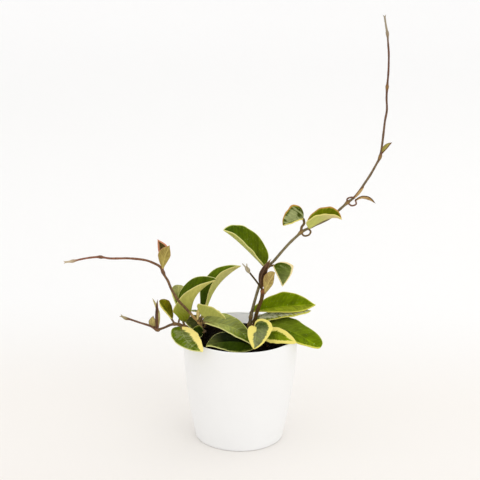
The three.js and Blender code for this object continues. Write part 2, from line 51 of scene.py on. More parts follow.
POT_HEIGHT = 121
POT_RIM_RADIUS = 62.5
POT_FOOT_RADIUS = 46.8
POT_SHOULDER = (62.3, 62)
POT_HEEL = (48.6, 3)
POT_HEEL_ROUND = 2.2
POT_WALL = 2.5
POT_FLOOR = 4
POT_SIDES = 192
WALL_STEPS = 40
SOIL_EDGE_HEIGHT = 107.5
SOIL_MOUND = 2
SOIL_RADIUS = POT_RIM_RADIUS - POT_WALL - 1.1
SOIL_GAP = 0.3
SOIL_RINGS = 70
SOIL_SIDES = 220
SOIL_RELIEF = ((0.75, 14, 16), (0.45, 14, 6), (0.25, 16, 2.6))  # height, waves, wavelength
CRUMBS = 900
BARK_SHARE = 0.12

BLADE_ROWS = 56
BLADE_COLUMNS = 13
BLADE_THICKNESS = 1.2
YOUNG_THICKNESS = 1.0
BLADE_END_ROUNDNESS = 0.62
BLADE_EDGE_ROUND = 0.6
BLADE_TIP_WIDTH = 0.18
BLADE_QUILT = 0.045
BLADE_RIPPLES = ((2.3, 0.018), (5.1, 0.010))  # waves along the outline, height as a share
BLADE_WAVES = ((1.7, 0.035), (3.9, 0.02))  # waves up and down at the edge, height as a share
CREASE_RADIUS = 2.2
GROOVE_DEPTH = 0.28
RIDGE_HEIGHTS = (0.45, 0.5)  # at the tip, and what the base has more
STALK_RADIUS = 1.1
YOUNG_STALK_RADIUS = 0.9
STALK_SPACING = 0.9
STALK_SIDES = 12
FLOWER_STALK_RADIUS = 1
FLOWER_KNOB_RADIUS = 2.4
VINE_SPACING = 0.8
VINE_SIDES = 18
DOME_STEPS = (0.15, 0.6, 0.88)
VINE_WAVES = ((23, 0.05), (9.5, 0.035), (4.1, 0.02))  # wavelength, height
KNOT_SWELL = 0.7
KNOT_LENGTH = 3
SCAR_HEIGHT = 0.22
FOOT_HEIGHTS = (86.5, 97, 108.5, 112)

# ---------------- the plant's layout

# Each vine runs from its foot in the soil to its tip. Knots are the leaf joints, by route point.
# bark is its colour low down, high up and at the knots, and where they differ at foot and tip.
VINES = {
    "vine_long": {
        "radius": (1.75, 0.95),
        "knots": (2, 3, 7, 12, 20, 26, 32, 36),
        "bark": ((0.27, 0.225, 0.12), (0.18, 0.088, 0.062), (0.32, 0.19, 0.06), None,
                 (0.32, 0.27, 0.19)),
        "route": [
            (8, 15, 86.5), (8, 15, 112), (9.5, 14, 123.5), (11, 13, 133.5), (13.5, 12, 146.5),
            (18.5, 10, 167), (23.5, 8, 184), (28.5, 6, 194.5), (35, 4, 202), (43, 2, 213),
            (51.5, 0, 224), (59, -1, 232), (63, -2, 236.5), (67, 1, 238), (72, 4, 239.5),
            (79, 6, 242.5), (88.5, 7, 247), (95, 6, 251.5), (102, 4, 259), (107, 2, 264.5),
            (111.5, 2, 269), (117.5, 3, 273.5), (122.5, 4, 279), (128.5, 6, 288), (135, 8, 298),
            (141, 10, 309), (145, 11, 317.5), (146.5, 12, 329), (147.5, 12, 342),
            (148.5, 12, 356), (150, 12, 368), (149, 11, 381), (149, 10, 393), (149.5, 9, 409),
            (149, 8, 427), (147.5, 7, 440.5), (146.5, 7, 449), (144.5, 7, 458), (143, 8, 466.5),
        ],
    },
    "vine_short": {
        "radius": (1.9, 2.1),
        "knots": (2, 7),
        "bark": ((0.062, 0.046, 0.005), (0.150, 0.078, 0.022), (0.38, 0.16, 0.07)),
        "route": [
            (13.5, 8, 86.5), (13.5, 8, 112), (14.5, 7, 125), (16, 6, 135), (18, 5, 143.5),
            (20.5, 4, 152), (22.5, 2, 159.5), (23.5, 0, 168.5),
        ],
    },
    "vine_left": {
        "radius": (1.7, 1),
        "knots": (2, 3, 11, 18, 21),
        "bark": ((0.20, 0.118, 0.052), (0.33, 0.138, 0.085), (0.15, 0.085, 0.05),
                 (0.66, 0.42, 0.16), (0.52, 0.42, 0.28)),
        "route": [
            (-41, 9, 86.5), (-41, 9, 112), (-43, 7, 120.5), (-45, 3, 129.5), (-50, -1, 136),
            (-55, -6, 144), (-60.5, -9, 151.5), (-68, -13, 161.5), (-74.5, -14, 173),
            (-78.5, -14, 183), (-82, -14, 189), (-84, -14, 193.5), (-87, -14, 199),
            (-92.5, -14, 202.5), (-103, -13, 206), (-119.5, -11, 207), (-130, -10, 206.5),
            (-141, -9, 206), (-150.5, -8, 207), (-157, -7, 206.5), (-168, -6, 204.5),
            (-182, -4, 200.5), (-189.5, -3, 199),
        ],
    },
    "vine_low": {
        "radius": (1.7, 1),
        "knots": (3, 4, 5, 9, 13),
        "bark": ((0.16, 0.10, 0.05), (0.205, 0.105, 0.06), (0.22, 0.13, 0.05), None,
                 (0.36, 0.30, 0.17)),
        "route": [
            (-50, 2, 86.5), (-50, 2, 112), (-54, 1, 120.5), (-60.5, -2, 126.5), (-67, -4, 129.5),
            (-71.5, -6, 131), (-76.5, -8, 130.5), (-82, -10, 128.5), (-87.5, -12, 127),
            (-90.5, -12, 126), (-98, -13, 131), (-109, -14, 135), (-119.5, -15, 139),
            (-124, -15, 140), (-128.5, -15, 142.5),
        ],
    },
}

# The greens that the leaves shade between, the tints of their edges, and young leaves' colours.
# The first green, near black, is painted shade for leaves that lie in shadow.
SHADOW_GREEN = (0.010, 0.020, 0.001)
DEEP = (0.030, 0.056, 0.001)
MOSS = (0.062, 0.098, 0.001)
GREEN = (0.098, 0.148, 0.002)
BRIGHT = (0.140, 0.215, 0.001)
LIME = (0.195, 0.260, 0.004)
# The grey-greens are partly the leaves' own colour and partly painted sheen.
ASH = (0.150, 0.178, 0.045)
DIM_ASH = (0.095, 0.110, 0.025)
CREAM = (0.84, 0.73, 0.19)
PALE_EDGE = (0.72, 0.72, 0.28)
PEACH = (0.84, 0.70, 0.38)
LEMON = (0.62, 0.60, 0.09)
AMBER = (0.50, 0.26, 0.05)
BROWN_EDGE = (0.22, 0.11, 0.02)
UNDER_GREEN = (0.455, 0.475, 0.105)
# Grey-green of the splashes: partly the leaves' own, partly painted sheen.
SPLASH_AND_SHEEN_GREY = (0.205, 0.240, 0.080)
TAN = ((0.34, 0.26, 0.10), (0.52, 0.44, 0.15))
OLIVE = ((0.20, 0.18, 0.035), (0.38, 0.33, 0.08))
BROWN = ((0.045, 0.022, 0.010), (0.11, 0.055, 0.025))


def both(value):
    """The same for the left and the right half of a blade, or for its base and its tip."""
    return value, value


def new_leaf(name, rib, half, look, **values):
    """A leaf's own values, over those that many share.

    rib is the blade's curve from base to tip, half its width to the left and right (seen from
    above, tip away), look the way its upper face looks at base and tip, and fold how far each
    half folds up in degrees. belly is where along the rib it is widest, and point how drawn-out
    its tip is. The stalk runs through via, from joint (a vine and a point of its route), foot
    (a place in the soil) or start.

    margin is the width of each half's pale edge at base, middle and tip, and edges its colour.
    greens are each half's colours from base to tip, and turn is where along the rib they change.
    under is the lower face from base to tip, then the amount of grey-green splashes and their
    colour, which are partly the leaf's own pattern and partly painted sheen. A young leaf has
    green, dark and bright, and rim, its edge's colour and width.
    """
    return {
        "name": name, "rib": rib, "half": half, "look": look, "fold": (0, 0), "via": [],
        "belly": (0.5, 0.5), "point": (0.5, 0.5), "stalk": STALK_RADIUS,
        "margin": both((0.5, 0.5, 0.5)), "edges": both(PALE_EDGE), "greens": both(both(MOSS)),
        "turn": (0.12, 0.88), "under": both(UNDER_GREEN), "silver": 0.1, "splash": SPLASH_AND_SHEEN_GREY,
        "green": BROWN, "rim": ((0.14, 0.05, 0.02), 0.3), **values,
    }


LEAVES = [
    new_leaf("leaf_arching_front",
        [(-63, 6.5, 129.5), (-47, 1.5, 138.5), (-67, 13, 155), (-27, 9, 178)], (24.5, 22.5),
        ((-1, 0, 0.2), (-0.6, 0.1, 0.8)), joint=("vine_low", 3), stalk=1.3, fold=(41, 55),
        belly=(0.59, 0.36), point=(0.1, 0.6), margin=((0.6, 0.7, 0.7), (0.5, 0.7, 0.8)),
        under=((0.230, 0.270, 0.015), (0.58, 0.55, 0.15))),
    new_leaf("leaf_arching_back", [(-40, 11.5, 131), (-37, 31, 164.5), (-0.5, 31.5, 186.5)],
        (21, 10), ((-1, 0, 0.2), (-0.5, 0.1, 0.9)), joint=("vine_left", 3), fold=(39, 51),
        belly=(0.57, 0.7), point=(0.5, 0.4), margin=((0.6, 0.7, 1.2), (0.6, 1.0, 1.6)),
        greens=((DEEP, GREEN), (DEEP, MOSS)), under=(UNDER_GREEN, (0.62, 0.59, 0.21))),
    new_leaf("leaf_curled_middle", [(-41.5, -5.5, 140), (-31.5, -14.5, 148), (-16, -27.5, 146)],
        (8, 14.5), ((-0.2, 0.1, 1), (0.1, -0.2, 1)), joint=("vine_left", 3), fold=(30, 80),
        belly=(0.42, 0.12), point=(0.5, -0.1), margin=((0.4, 0.5, 0.5), (0.7, 0.7, 0.7)),
        silver=0.2),
    new_leaf("leaf_long_middle", [(-41, -6.5, 133.5), (1, -20.5, 138.5), (13, -44, 122)],
        (15.5, 11), ((0, -0.4, 0.9), (0.1, -0.3, 1)), joint=("vine_left", 2),
        via=[(-38.5, 2, 127)], fold=(8, 5), belly=(0.22, 0.57),
        margin=((0.4, 0.5, 1.0), (0.9, 0.8, 0.8)), silver=0.75,
        greens=(((0.34, 0.37, 0.10), (0.066, 0.096, 0.001)), ((0.38, 0.41, 0.11), GREEN))),
    new_leaf("leaf_low_left", [(-43, 16, 122), (-52, 18, 125), (-63, 19, 125)], (9, 10),
        both((0, -0.7, 1)), joint=("vine_left", 2), belly=(0.42, 0.42),
        margin=both((0.4, 0.4, 0.4)), greens=both(((0.055, 0.062, 0.022), DIM_ASH))),
    new_leaf("leaf_behind_left", [(-42, 26, 131.5), (-50, 30, 134.5), (-58, 33, 132)], (7, 7),
        both((0, 0.3, 0.94)), joint=("vine_left", 3), via=[(-46.5, 13, 127)], belly=(0.42, 0.42),
        margin=both((0.3, 0.3, 0.3)), silver=0.2),
    # Its near-black greens are painted shade: this leaf lies low in the pot, in shadow.
    new_leaf("leaf_inside_left", [(-40.5, -8.5, 122.5), (-46, -8.5, 123), (-55, -9, 122)], (7, 9),
        both((0, -0.8, 1)), joint=("vine_left", 2), stalk=1, via=[(-38.5, -1, 121.5)],
        belly=(0.42, 0.42), margin=((0.3, 0.3, 0.3), (0.5, 0.5, 0.5)), silver=0,
        greens=(both(SHADOW_GREEN), (SHADOW_GREEN, DEEP))),
    new_leaf("leaf_over_rim", [(-64.5, -11.5, 129.5), (-61, -40.5, 121), (-39.5, -66, 123)],
        (15.5, 13.5), ((0, -0.4, 0.9), (0, -0.7, 0.7)), joint=("vine_low", 4), fold=(-2, 11),
        belly=(0.35, 0.29), point=(0, 0.5), margin=((9.5, 8, 3.4), (0.3, 0.4, 0.4)), silver=0.9,
        greens=((ASH, GREEN), both(GREEN)), edges=((0.95, 0.80, 0.26), PALE_EDGE)),
    new_leaf("leaf_small_left", [(-75, 0, 134), (-85.5, 4.5, 155.5), (-89.5, 5.5, 152)],
        (5.5, 7.5), ((0.4, -0.6, 0.7), (0, -0.4, 0.9)), joint=("vine_low", 5), fold=(10, 11),
        belly=(0.51, 0.45), margin=((0.8, 0.9, 0.5), (0.7, 1, 1)),
        greens=(((0.115, 0.122, 0.003), (0.12, 0.12, 0.002)),
                ((0.14, 0.125, 0.003), (0.135, 0.125, 0.002))), edges=(CREAM, BROWN_EDGE)),
    new_leaf("leaf_upright_left", [(-67, 18, 131), (-71, 26, 156), (-69, 44, 158)], (8, 9),
        ((-0.2, -1, 0.3), (-0.1, 0, 1)), joint=("vine_low", 4), via=[(-68, 8, 128)], fold=(10, 10),
        belly=(0.72, 0.6), point=(-0.2, 0), margin=((1.0, 1.0, 0.4), (0.6, 0.6, 0.5)), silver=0.4,
        greens=both((GREEN, (0.31, 0.31, 0.10)))),
    # Its near-black base is painted shadow, cast by leaf_long_middle lying over it.
    new_leaf("leaf_front", [(16, -36, 118.5), (-11, -42.5, 131), (-36.5, -50.5, 123)], (12.5, 19),
        ((0, -0.7, 0.7), (-0.3, -0.4, 0.9)), foot=(9, -19), via=[(12, -27, 115.5)], fold=(-9, -18),
        belly=(0.43, 0.64), point=(0.6, 0.4), margin=((0.5, 0.6, 0.6), (0.4, 0.5, 0.9)),
        silver=0.05, greens=(((0.024, 0.043, 0.001), DIM_ASH), ((0.003, 0.006, 0.0003), DIM_ASH)),
        turn=(0.6, 1.0)),
    new_leaf("leaf_cupped_front", [(16, -21, 133), (18.5, -36.5, 146.5), (14, -58, 124)],
        (17.5, 10.5), ((-0.1, -0.7, 0.6), (0.2, -0.8, 0.6)), joint=("vine_short", 2),
        fold=(15, 23), belly=(0.44, 0.68), point=(0, 0.2), margin=((3.4, 4.4, 1.2), (12, 9.5, 4)),
        silver=0.8,
        greens=(((0.045, 0.072, 0.006), (0.19, 0.21, 0.09)), (ASH, (0.19, 0.21, 0.09))),
        edges=both(CREAM), turn=(0.25, 0.75)),
    new_leaf("leaf_low_right", [(23.5, -24, 127.5), (38, -26.5, 131.5), (60, -36, 123)], (9.5, 13),
        ((0, -0.4, 0.9), (0.2, -0.5, 0.9)), joint=("vine_short", 2),
        via=[(18.5, 1, 121.5), (22, -11, 123)], fold=(13, 1), belly=(0.44, 0.39), point=(0.2, 0),
        margin=((3.4, 5.2, 5.2), (2.6, 3.8, 4.4)), silver=0.2, greens=both((MOSS, LIME)),
        edges=both(CREAM)),
    new_leaf("leaf_broad_right", [(26, -2.5, 128.5), (47.5, -11, 134), (86, -31.5, 116)],
        (20, 14.5), ((0.1, -0.2, 1), (0.2, -0.6, 0.8)), joint=("vine_short", 2),
        via=[(20, 3.5, 128.5)], fold=(3, 2), belly=(0.38, 0.43), point=(-0.3, -0.1),
        margin=((0.6, 0.7, 0.8), (0.5, 1.0, 1.8)), silver=0.35,
        greens=(((0.150, 0.205, 0.012), (0.125, 0.190, 0.001)),
                ((0.040, 0.070, 0.002), (0.150, 0.220, 0.001))), edges=(PALE_EDGE, LEMON),
        turn=(0.4, 0.9)),
    new_leaf("leaf_upper_right", [(11, 20, 137), (51.5, 13, 148.5), (82, 8, 150.5)], (16, 13),
        ((0, -0.4, 0.9), (0, -0.5, 0.9)), joint=("vine_long", 3), fold=(36, 12),
        belly=(0.49, 0.63), point=(0.6, 0.3), margin=((0.7, 0.7, 0.7), (0.7, 0.8, 0.8)),
        silver=0.25,
        greens=(both((0.140, 0.205, 0.001)), ((0.21, 0.26, 0.008), (0.25, 0.30, 0.015))),
        edges=both(LEMON)),
    new_leaf("leaf_under_right", [(17, 19, 131), (48, 8, 140.5), (76.5, 2, 146)], (12, 16.5),
        ((0, -0.1, 1), (0, 0, 1)), joint=("vine_long", 2), fold=(0, 2), belly=(0.45, 0.36),
        point=(0.5, -0.25), margin=((0.5, 0.5, 0.5), (0.6, 0.7, 0.7)), silver=1,
        greens=(both(DEEP), (MOSS, (0.34, 0.33, 0.05))), edges=both(LEMON),
        splash=(0.42, 0.43, 0.26)),
    new_leaf("leaf_high_left", [(24.5, 3, 196), (-8.5, 4, 230.5), (-20, -8.5, 239.5)], (18, 21.5),
        ((0.7, -0.2, 0.7), (0.4, 0, 0.9)), joint=("vine_long", 7), fold=(27, 41),
        belly=(0.47, 0.33), point=(0.6, 0.3), margin=((0.8, 0.9, 0.7), (0.8, 0.8, 0.7)),
        silver=0.35,
        greens=((GREEN, (0.070, 0.112, 0.001)), ((0.090, 0.125, 0.002), (0.058, 0.105, 0.001)))),
    new_leaf("leaf_hanging", [(34.5, 0, 198), (38.5, -2, 195), (44.5, -8, 176.5)], (18, 8.5),
        ((0.1, -0.7, 0.7), (0.5, -0.8, 0.3)), joint=("vine_long", 7), fold=(10, 55),
        belly=(0.52, 0.5), point=(0.4, 0.5), margin=((1.6, 2.8, 1.6), (0.3, 0.3, 0.5)),
        silver=0.65, greens=both((MOSS, ASH)), edges=both(PEACH)),
    new_leaf("leaf_node_left", [(65, -0.5, 251), (58.5, -1.5, 253), (43.5, -5.5, 244.5)],
        (12.5, 16), ((0, -0.2, 1), (-0.2, -0.3, 0.9)), joint=("vine_long", 12), stalk=1.4,
        via=[(63.5, -1.5, 242), (66, -1, 246)], fold=(24, 43), belly=(0.53, 0.38), point=(0.4, 0),
        margin=((0.9, 0.9, 0.6), (0.6, 2, 0.8)), silver=1,
        greens=(both(ASH), both((0.048, 0.066, 0.001))), edges=(CREAM, AMBER),
        splash=(0.31, 0.34, 0.14)),
    new_leaf("leaf_node_right", [(70.5, -5, 242), (96, -0.5, 259), (105.5, -8, 253)], (14.5, 18.5),
        ((-0.4, -0.1, 0.9), (0.4, -0.4, 0.8)), joint=("vine_long", 12), stalk=1,
        via=[(66, -5, 233.5), (71, -7, 235), (73, -7, 239)], fold=(35, 51), belly=(0.36, 0.17),
        point=(0.5, 0.2), margin=((1.2, 1.8, 1), (1.2, 1.4, 0.8)),
        greens=(((0.130, 0.150, 0.001), (0.125, 0.150, 0.001)), both(BRIGHT)),
        edges=(AMBER, CREAM), under=((0.50, 0.52, 0.13), (0.70, 0.57, 0.28))),
]

# Young leaves, still growing from the vine that bears them.
YOUNG_LEAVES = [
    new_leaf("young_leaf_bract", [(-47, -1.5, 135), (-46.5, -3, 143), (-44.5, -3.5, 151)],
        (2.5, 2.5), both((0.2, 1, 0.2)), start=(-46.5, 1.5, 131.5), fold=(20, 20),
        green=((0.55, 0.36, 0.13), (0.70, 0.56, 0.22)), rim=((0.62, 0.50, 0.16), 0.3)),
    new_leaf("young_leaf_left_front", [(-84, -16, 198.5), (-83, -23, 213), (-76.5, -19, 225)],
        (6.5, 8), ((0, 1, 0.3), (0, 1, 0.6)), start=(-84, -14, 193.5), fold=(25, 25),
        belly=(0.55, 0.55), green=((0.27, 0.20, 0.05), (0.42, 0.34, 0.09)),
        rim=((0.52, 0.26, 0.12), 0.4)),
    new_leaf("young_leaf_left_back", [(-84, -12, 197), (-84.5, -3, 210), (-90, -8, 228)], (3, 9),
        both((0, -1, 0.3)), start=(-84, -14, 193.5), fold=(10, 10), belly=(0.6, 0.6),
        green=((0.055, 0.045, 0.008), (0.13, 0.085, 0.02)), rim=((0.62, 0.27, 0.15), 1.6)),
    new_leaf("young_leaf_low_edge", [(-90.5, -16, 130), (-92.5, -19, 146.5), (-89.5, -17, 163)],
        (6, 3), both((1, 0.1, 0)), start=(-90.5, -12, 126), fold=(20, 40), belly=(0.45, 0.45)),
    new_leaf("young_leaf_low_short", [(-92.5, -10, 128.5), (-96.5, -10, 133), (-95, -8, 141)],
        (5, 5), ((-0.5, -1, 0.5), (-0.3, -1, 0.2)), start=(-90.5, -12, 126), fold=(10, 10),
        belly=(0.45, 0.45), green=TAN),
    new_leaf("young_leaf_low_back", [(-89.5, -7, 128), (-89, -1, 142.5), (-96, -2, 159)], (4, 4),
        both((1, -0.2, 0)), start=(-90.5, -12, 126), fold=(20, 20), belly=(0.45, 0.45),
        green=((0.50, 0.44, 0.18), (0.62, 0.58, 0.26)), rim=((0.45, 0.36, 0.14), 0.3)),
    new_leaf("young_leaf_folded", [(22.5, -1, 171), (17, -6, 187), (31.5, -8, 208)], (5, 4),
        both((0.3, 0.9, 0.2)), start=(23.5, 0, 168.5), fold=(25, 25),
        rim=((0.36, 0.21, 0.10), 0.35)),
    new_leaf("young_leaf_middle", [(25.5, -5, 167.5), (26.5, -13, 181), (36, -11, 193.5)],
        (6, 7.5), ((0, 1, 0.2), (0, 1, 0.3)), start=(22.5, 2, 163), fold=(20, 20),
        belly=(0.5, 0.72), point=(0.5, -0.2), green=((0.31, 0.21, 0.07), (0.50, 0.40, 0.13)),
        rim=((0.30, 0.15, 0.05), 0.3)),
    new_leaf("young_leaf_ring_upper", [(118, -2, 276), (125, -4, 281.5), (128, -3, 289)], (3, 3),
        both((-0.6, 0.5, 0.6)), start=(111.5, 2, 269), via=[(111, 0, 273.5), (114.5, -2, 276)],
        fold=(40, 40), green=((0.30, 0.17, 0.06), (0.48, 0.33, 0.14)),
        rim=((0.14, 0.06, 0.03), 0.4)),
    new_leaf("young_leaf_ring_lower", [(119.5, -3, 273.5), (131, -5, 281.5), (140.5, -7, 271)],
        (6, 3), ((-0.3, 0.6, 0.7), (0.4, 0.6, 0.7)), start=(111.5, 2, 269),
        via=[(116, -1, 266.5), (120.5, -3, 269)], fold=(10, 10),
        green=((0.30, 0.17, 0.05), (0.46, 0.30, 0.12)), rim=((0.10, 0.05, 0.02), 0.5)),
    new_leaf("young_leaf_high", [(146.5, 8, 322.5), (149.5, 4, 330.5), (156, 2, 335.5)], (3, 3),
        ((0, -0.6, 0.8), (0.2, -0.6, 0.8)), start=(145.5, 11, 319), fold=(20, 20),
        belly=(0.45, 0.45), green=OLIVE),
]

# The flower stalk on the short vine, with its small knob and two buds.
FLOWER_STALK = {
    "route": [(23.5, 0, 168.5), (19, -4, 177), (14, -6, 184.5), (8, -7, 192.5)],
    "knob": [(8.5, -7, 191.5), (6.5, -7, 195), (4.5, -7, 198)],
    "buds": [[(5, -7, 197), (1, -7, 201.5)], [(6, -7, 196), (5.5, -7, 201.5)]],
}

# ---------------- vectors and curves


def unit(vectors):
    vectors = np.asarray(vectors, float)
    return vectors / np.linalg.norm(vectors, axis=-1, keepdims=True)


def bell(distance, reach):
    """1 at no distance, falling smoothly away."""
    return np.exp(-(distance / reach) ** 2)


def wave(turns, random):
    """A sine wave that starts anywhere."""
    return np.sin(2 * np.pi * (turns + random.random()))


def circle_angles(sides):
    """The angles of a circle's points."""
    return np.linspace(0, 2 * np.pi, sides, endpoint=False)


def run_length(points):
    """Distance along the points from the first to each."""
    steps = np.linalg.norm(np.diff(points, axis=0), axis=1)
    return np.concatenate([[0], np.cumsum(steps)])


def bezier(points, shares):
    """Points of a Bezier curve of any degree, one row for each share."""
    rows = [np.outer(np.ones_like(shares), point) for point in np.asarray(points, float)]
    while len(rows) > 1:
        rows = [
            rows[i] * (1 - shares[:, None]) + rows[i + 1] * shares[:, None]
            for i in range(len(rows) - 1)
        ]
    return rows[0]


def smooth_route(points, spacing):
    """Evenly spaced points on a uniform Catmull-Rom curve, with the length up to each."""
    points = np.asarray(points, float)
    ends = [2 * points[0] - points[1], 2 * points[-1] - points[-2]]
    points = np.vstack([ends[0], points, ends[1]])
    steps = np.linspace(0, 1, 24, endpoint=False)[:, None]
    spans = []
    for a, b, c, d in zip(points, points[1:], points[2:], points[3:]):
        spans.append(
            0.5 * (2 * b + (c - a) * steps + (2 * a - 5 * b + 4 * c - d) * steps ** 2
                   + (3 * b - a - 3 * c + d) * steps ** 3)
        )
    fine = np.vstack(spans + [points[-2]])
    length = run_length(fine)
    count = max(3, int(math.ceil(length[-1] / spacing)))
    wanted = np.linspace(0, length[-1], count + 1)
    route = np.stack([np.interp(wanted, length, fine[:, axis]) for axis in range(3)], 1)
    return route, wanted


# ---------------- mesh building


def new_object(name, data):
    item = bpy.data.objects.new(name, data)
    bpy.context.scene.collection.objects.link(item)
    return item


class Shape:
    """Points, faces and the vertex values that the materials read, for one piece.

    Each value is a vector. blade: millimetres along the rib and across it, and the share along
    it. edge: distance in from the edge, width of the pale margin, and 0 above to 1 below. stem:
    millimetres along a stem, the share along it, and the closeness to a knot.
    """

    def __init__(self):
        self.points = []
        self.faces = []
        self.slots = []
        self.values = {"blade": [], "edge": [], "stem": []}
        self.count = 0

    def add(self, points, faces, slot, **values):
        points = np.asarray(points, float)
        self.points.append(points)
        self.faces += [tuple(int(i) + self.count for i in face) for face in faces]
        self.slots += [slot] * len(faces)
        for name, rows in self.values.items():
            rows.append(np.broadcast_to(values.get(name, (0, 0, 0)), (len(points), 3)))
        self.count += len(points)

    def piece(self, name, materials, slot, *nodes):
        """Makes the Blender object, in metres, and hides the model's parts for the nodes that it
        stands for.
        """
        mesh = bpy.data.meshes.new(name)
        points = np.vstack(self.points) * MM
        mesh.from_pydata(points.tolist(), [], self.faces)
        for material in materials:
            mesh.materials.append(material)
        mesh.polygons.foreach_set("material_index", self.slots)
        mesh.polygons.foreach_set("use_smooth", [True] * len(self.faces))
        for label, rows in self.values.items():
            attribute = mesh.attributes.new(label, "FLOAT_VECTOR", "POINT")
            attribute.data.foreach_set("vector", np.vstack(rows).astype(np.float32).ravel())
        mesh.update()
        item = new_object(name + "_fine", mesh)
        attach(item, "root")
        if nodes:
            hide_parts(*nodes)


def ring_faces(rows, sides):
    """Faces that join each ring of points to the next."""
    faces = []
    for row in range(rows - 1):
        for side in range(sides):
            here = row * sides + side
            after = row * sides + (side + 1) % sides
            faces.append((here, after, after + sides, here + sides))
    return faces


def closed_faces(rows, sides):
    """Faces of a closed body of rings, whose two end points come after the rings."""
    faces = ring_faces(rows, sides)
    count = rows * sides
    for side in range(sides):
        after = (side + 1) % sides
        faces.append((count, after, side))
        faces.append((count + 1, count - sides + side, count - sides + after))
    return faces


def tube_frames(route):
    """Directions along the route and two square to it, turning as little as possible."""
    along = unit(np.gradient(route, axis=0))
    across = np.empty_like(route)
    side = np.array([0.8, 0.6, 0.0])
    for i, direction in enumerate(along):
        side = unit(side - direction * side.dot(direction))
        across[i] = side
    return along, across, np.cross(along, across)


def add_tube(shape, route, radii, sides, slot, stem):
    """A closed tube with domed ends. stem holds three values for each point of the route."""
    along, across, square = tube_frames(route)
    radii = np.broadcast_to(radii, len(route))
    stem = np.broadcast_to(stem, (len(route), 3))

    def dome(i, way, steps):
        return [(route[i] + way * along[i] * radii[i] * (1 - step),
                 radii[i] * math.sqrt(step * (2 - step)), i) for step in steps]

    rows = [(route[i], radii[i], i) for i in range(len(route))]
    rows = dome(0, -1, DOME_STEPS) + rows + dome(-1, 1, DOME_STEPS[::-1])
    angles = circle_angles(sides)
    points = []
    values = []
    for middle, radius, i in rows:
        points.append(middle + radius * (np.outer(np.cos(angles), across[i])
                                         + np.outer(np.sin(angles), square[i])))
        values.append(np.broadcast_to(stem[i], (sides, 3)))
    points.append([route[0] - along[0] * radii[0], route[-1] + along[-1] * radii[-1]])
    values.append([stem[0], stem[-1]])
    shape.add(np.vstack(points), closed_faces(len(rows), sides), slot, stem=np.vstack(values))


# ---------------- leaf blades


def outline(shares, belly, point):
    """Half-width along the rib as a share of the greatest: round base, drawn-out tip."""
    bent = shares ** (math.log(0.5) / math.log(belly))
    return np.maximum(np.sin(np.pi * bent), 0) ** (BLADE_END_ROUNDNESS + point * shares)


def blade_frame(leaf, shares):
    """Directions along the rib, to the blade's right and out of its upper face."""
    steps = np.diff(np.asarray(leaf["rib"], float), axis=0)
    along = unit(bezier(steps, shares))
    base, tip = unit(leaf["look"][0]), unit(leaf["look"][1])
    look = np.outer(1 - shares, base) + np.outer(shares, tip)
    up = unit(look - along * np.sum(look * along, 1, keepdims=True))
    return along, np.cross(along, up), up


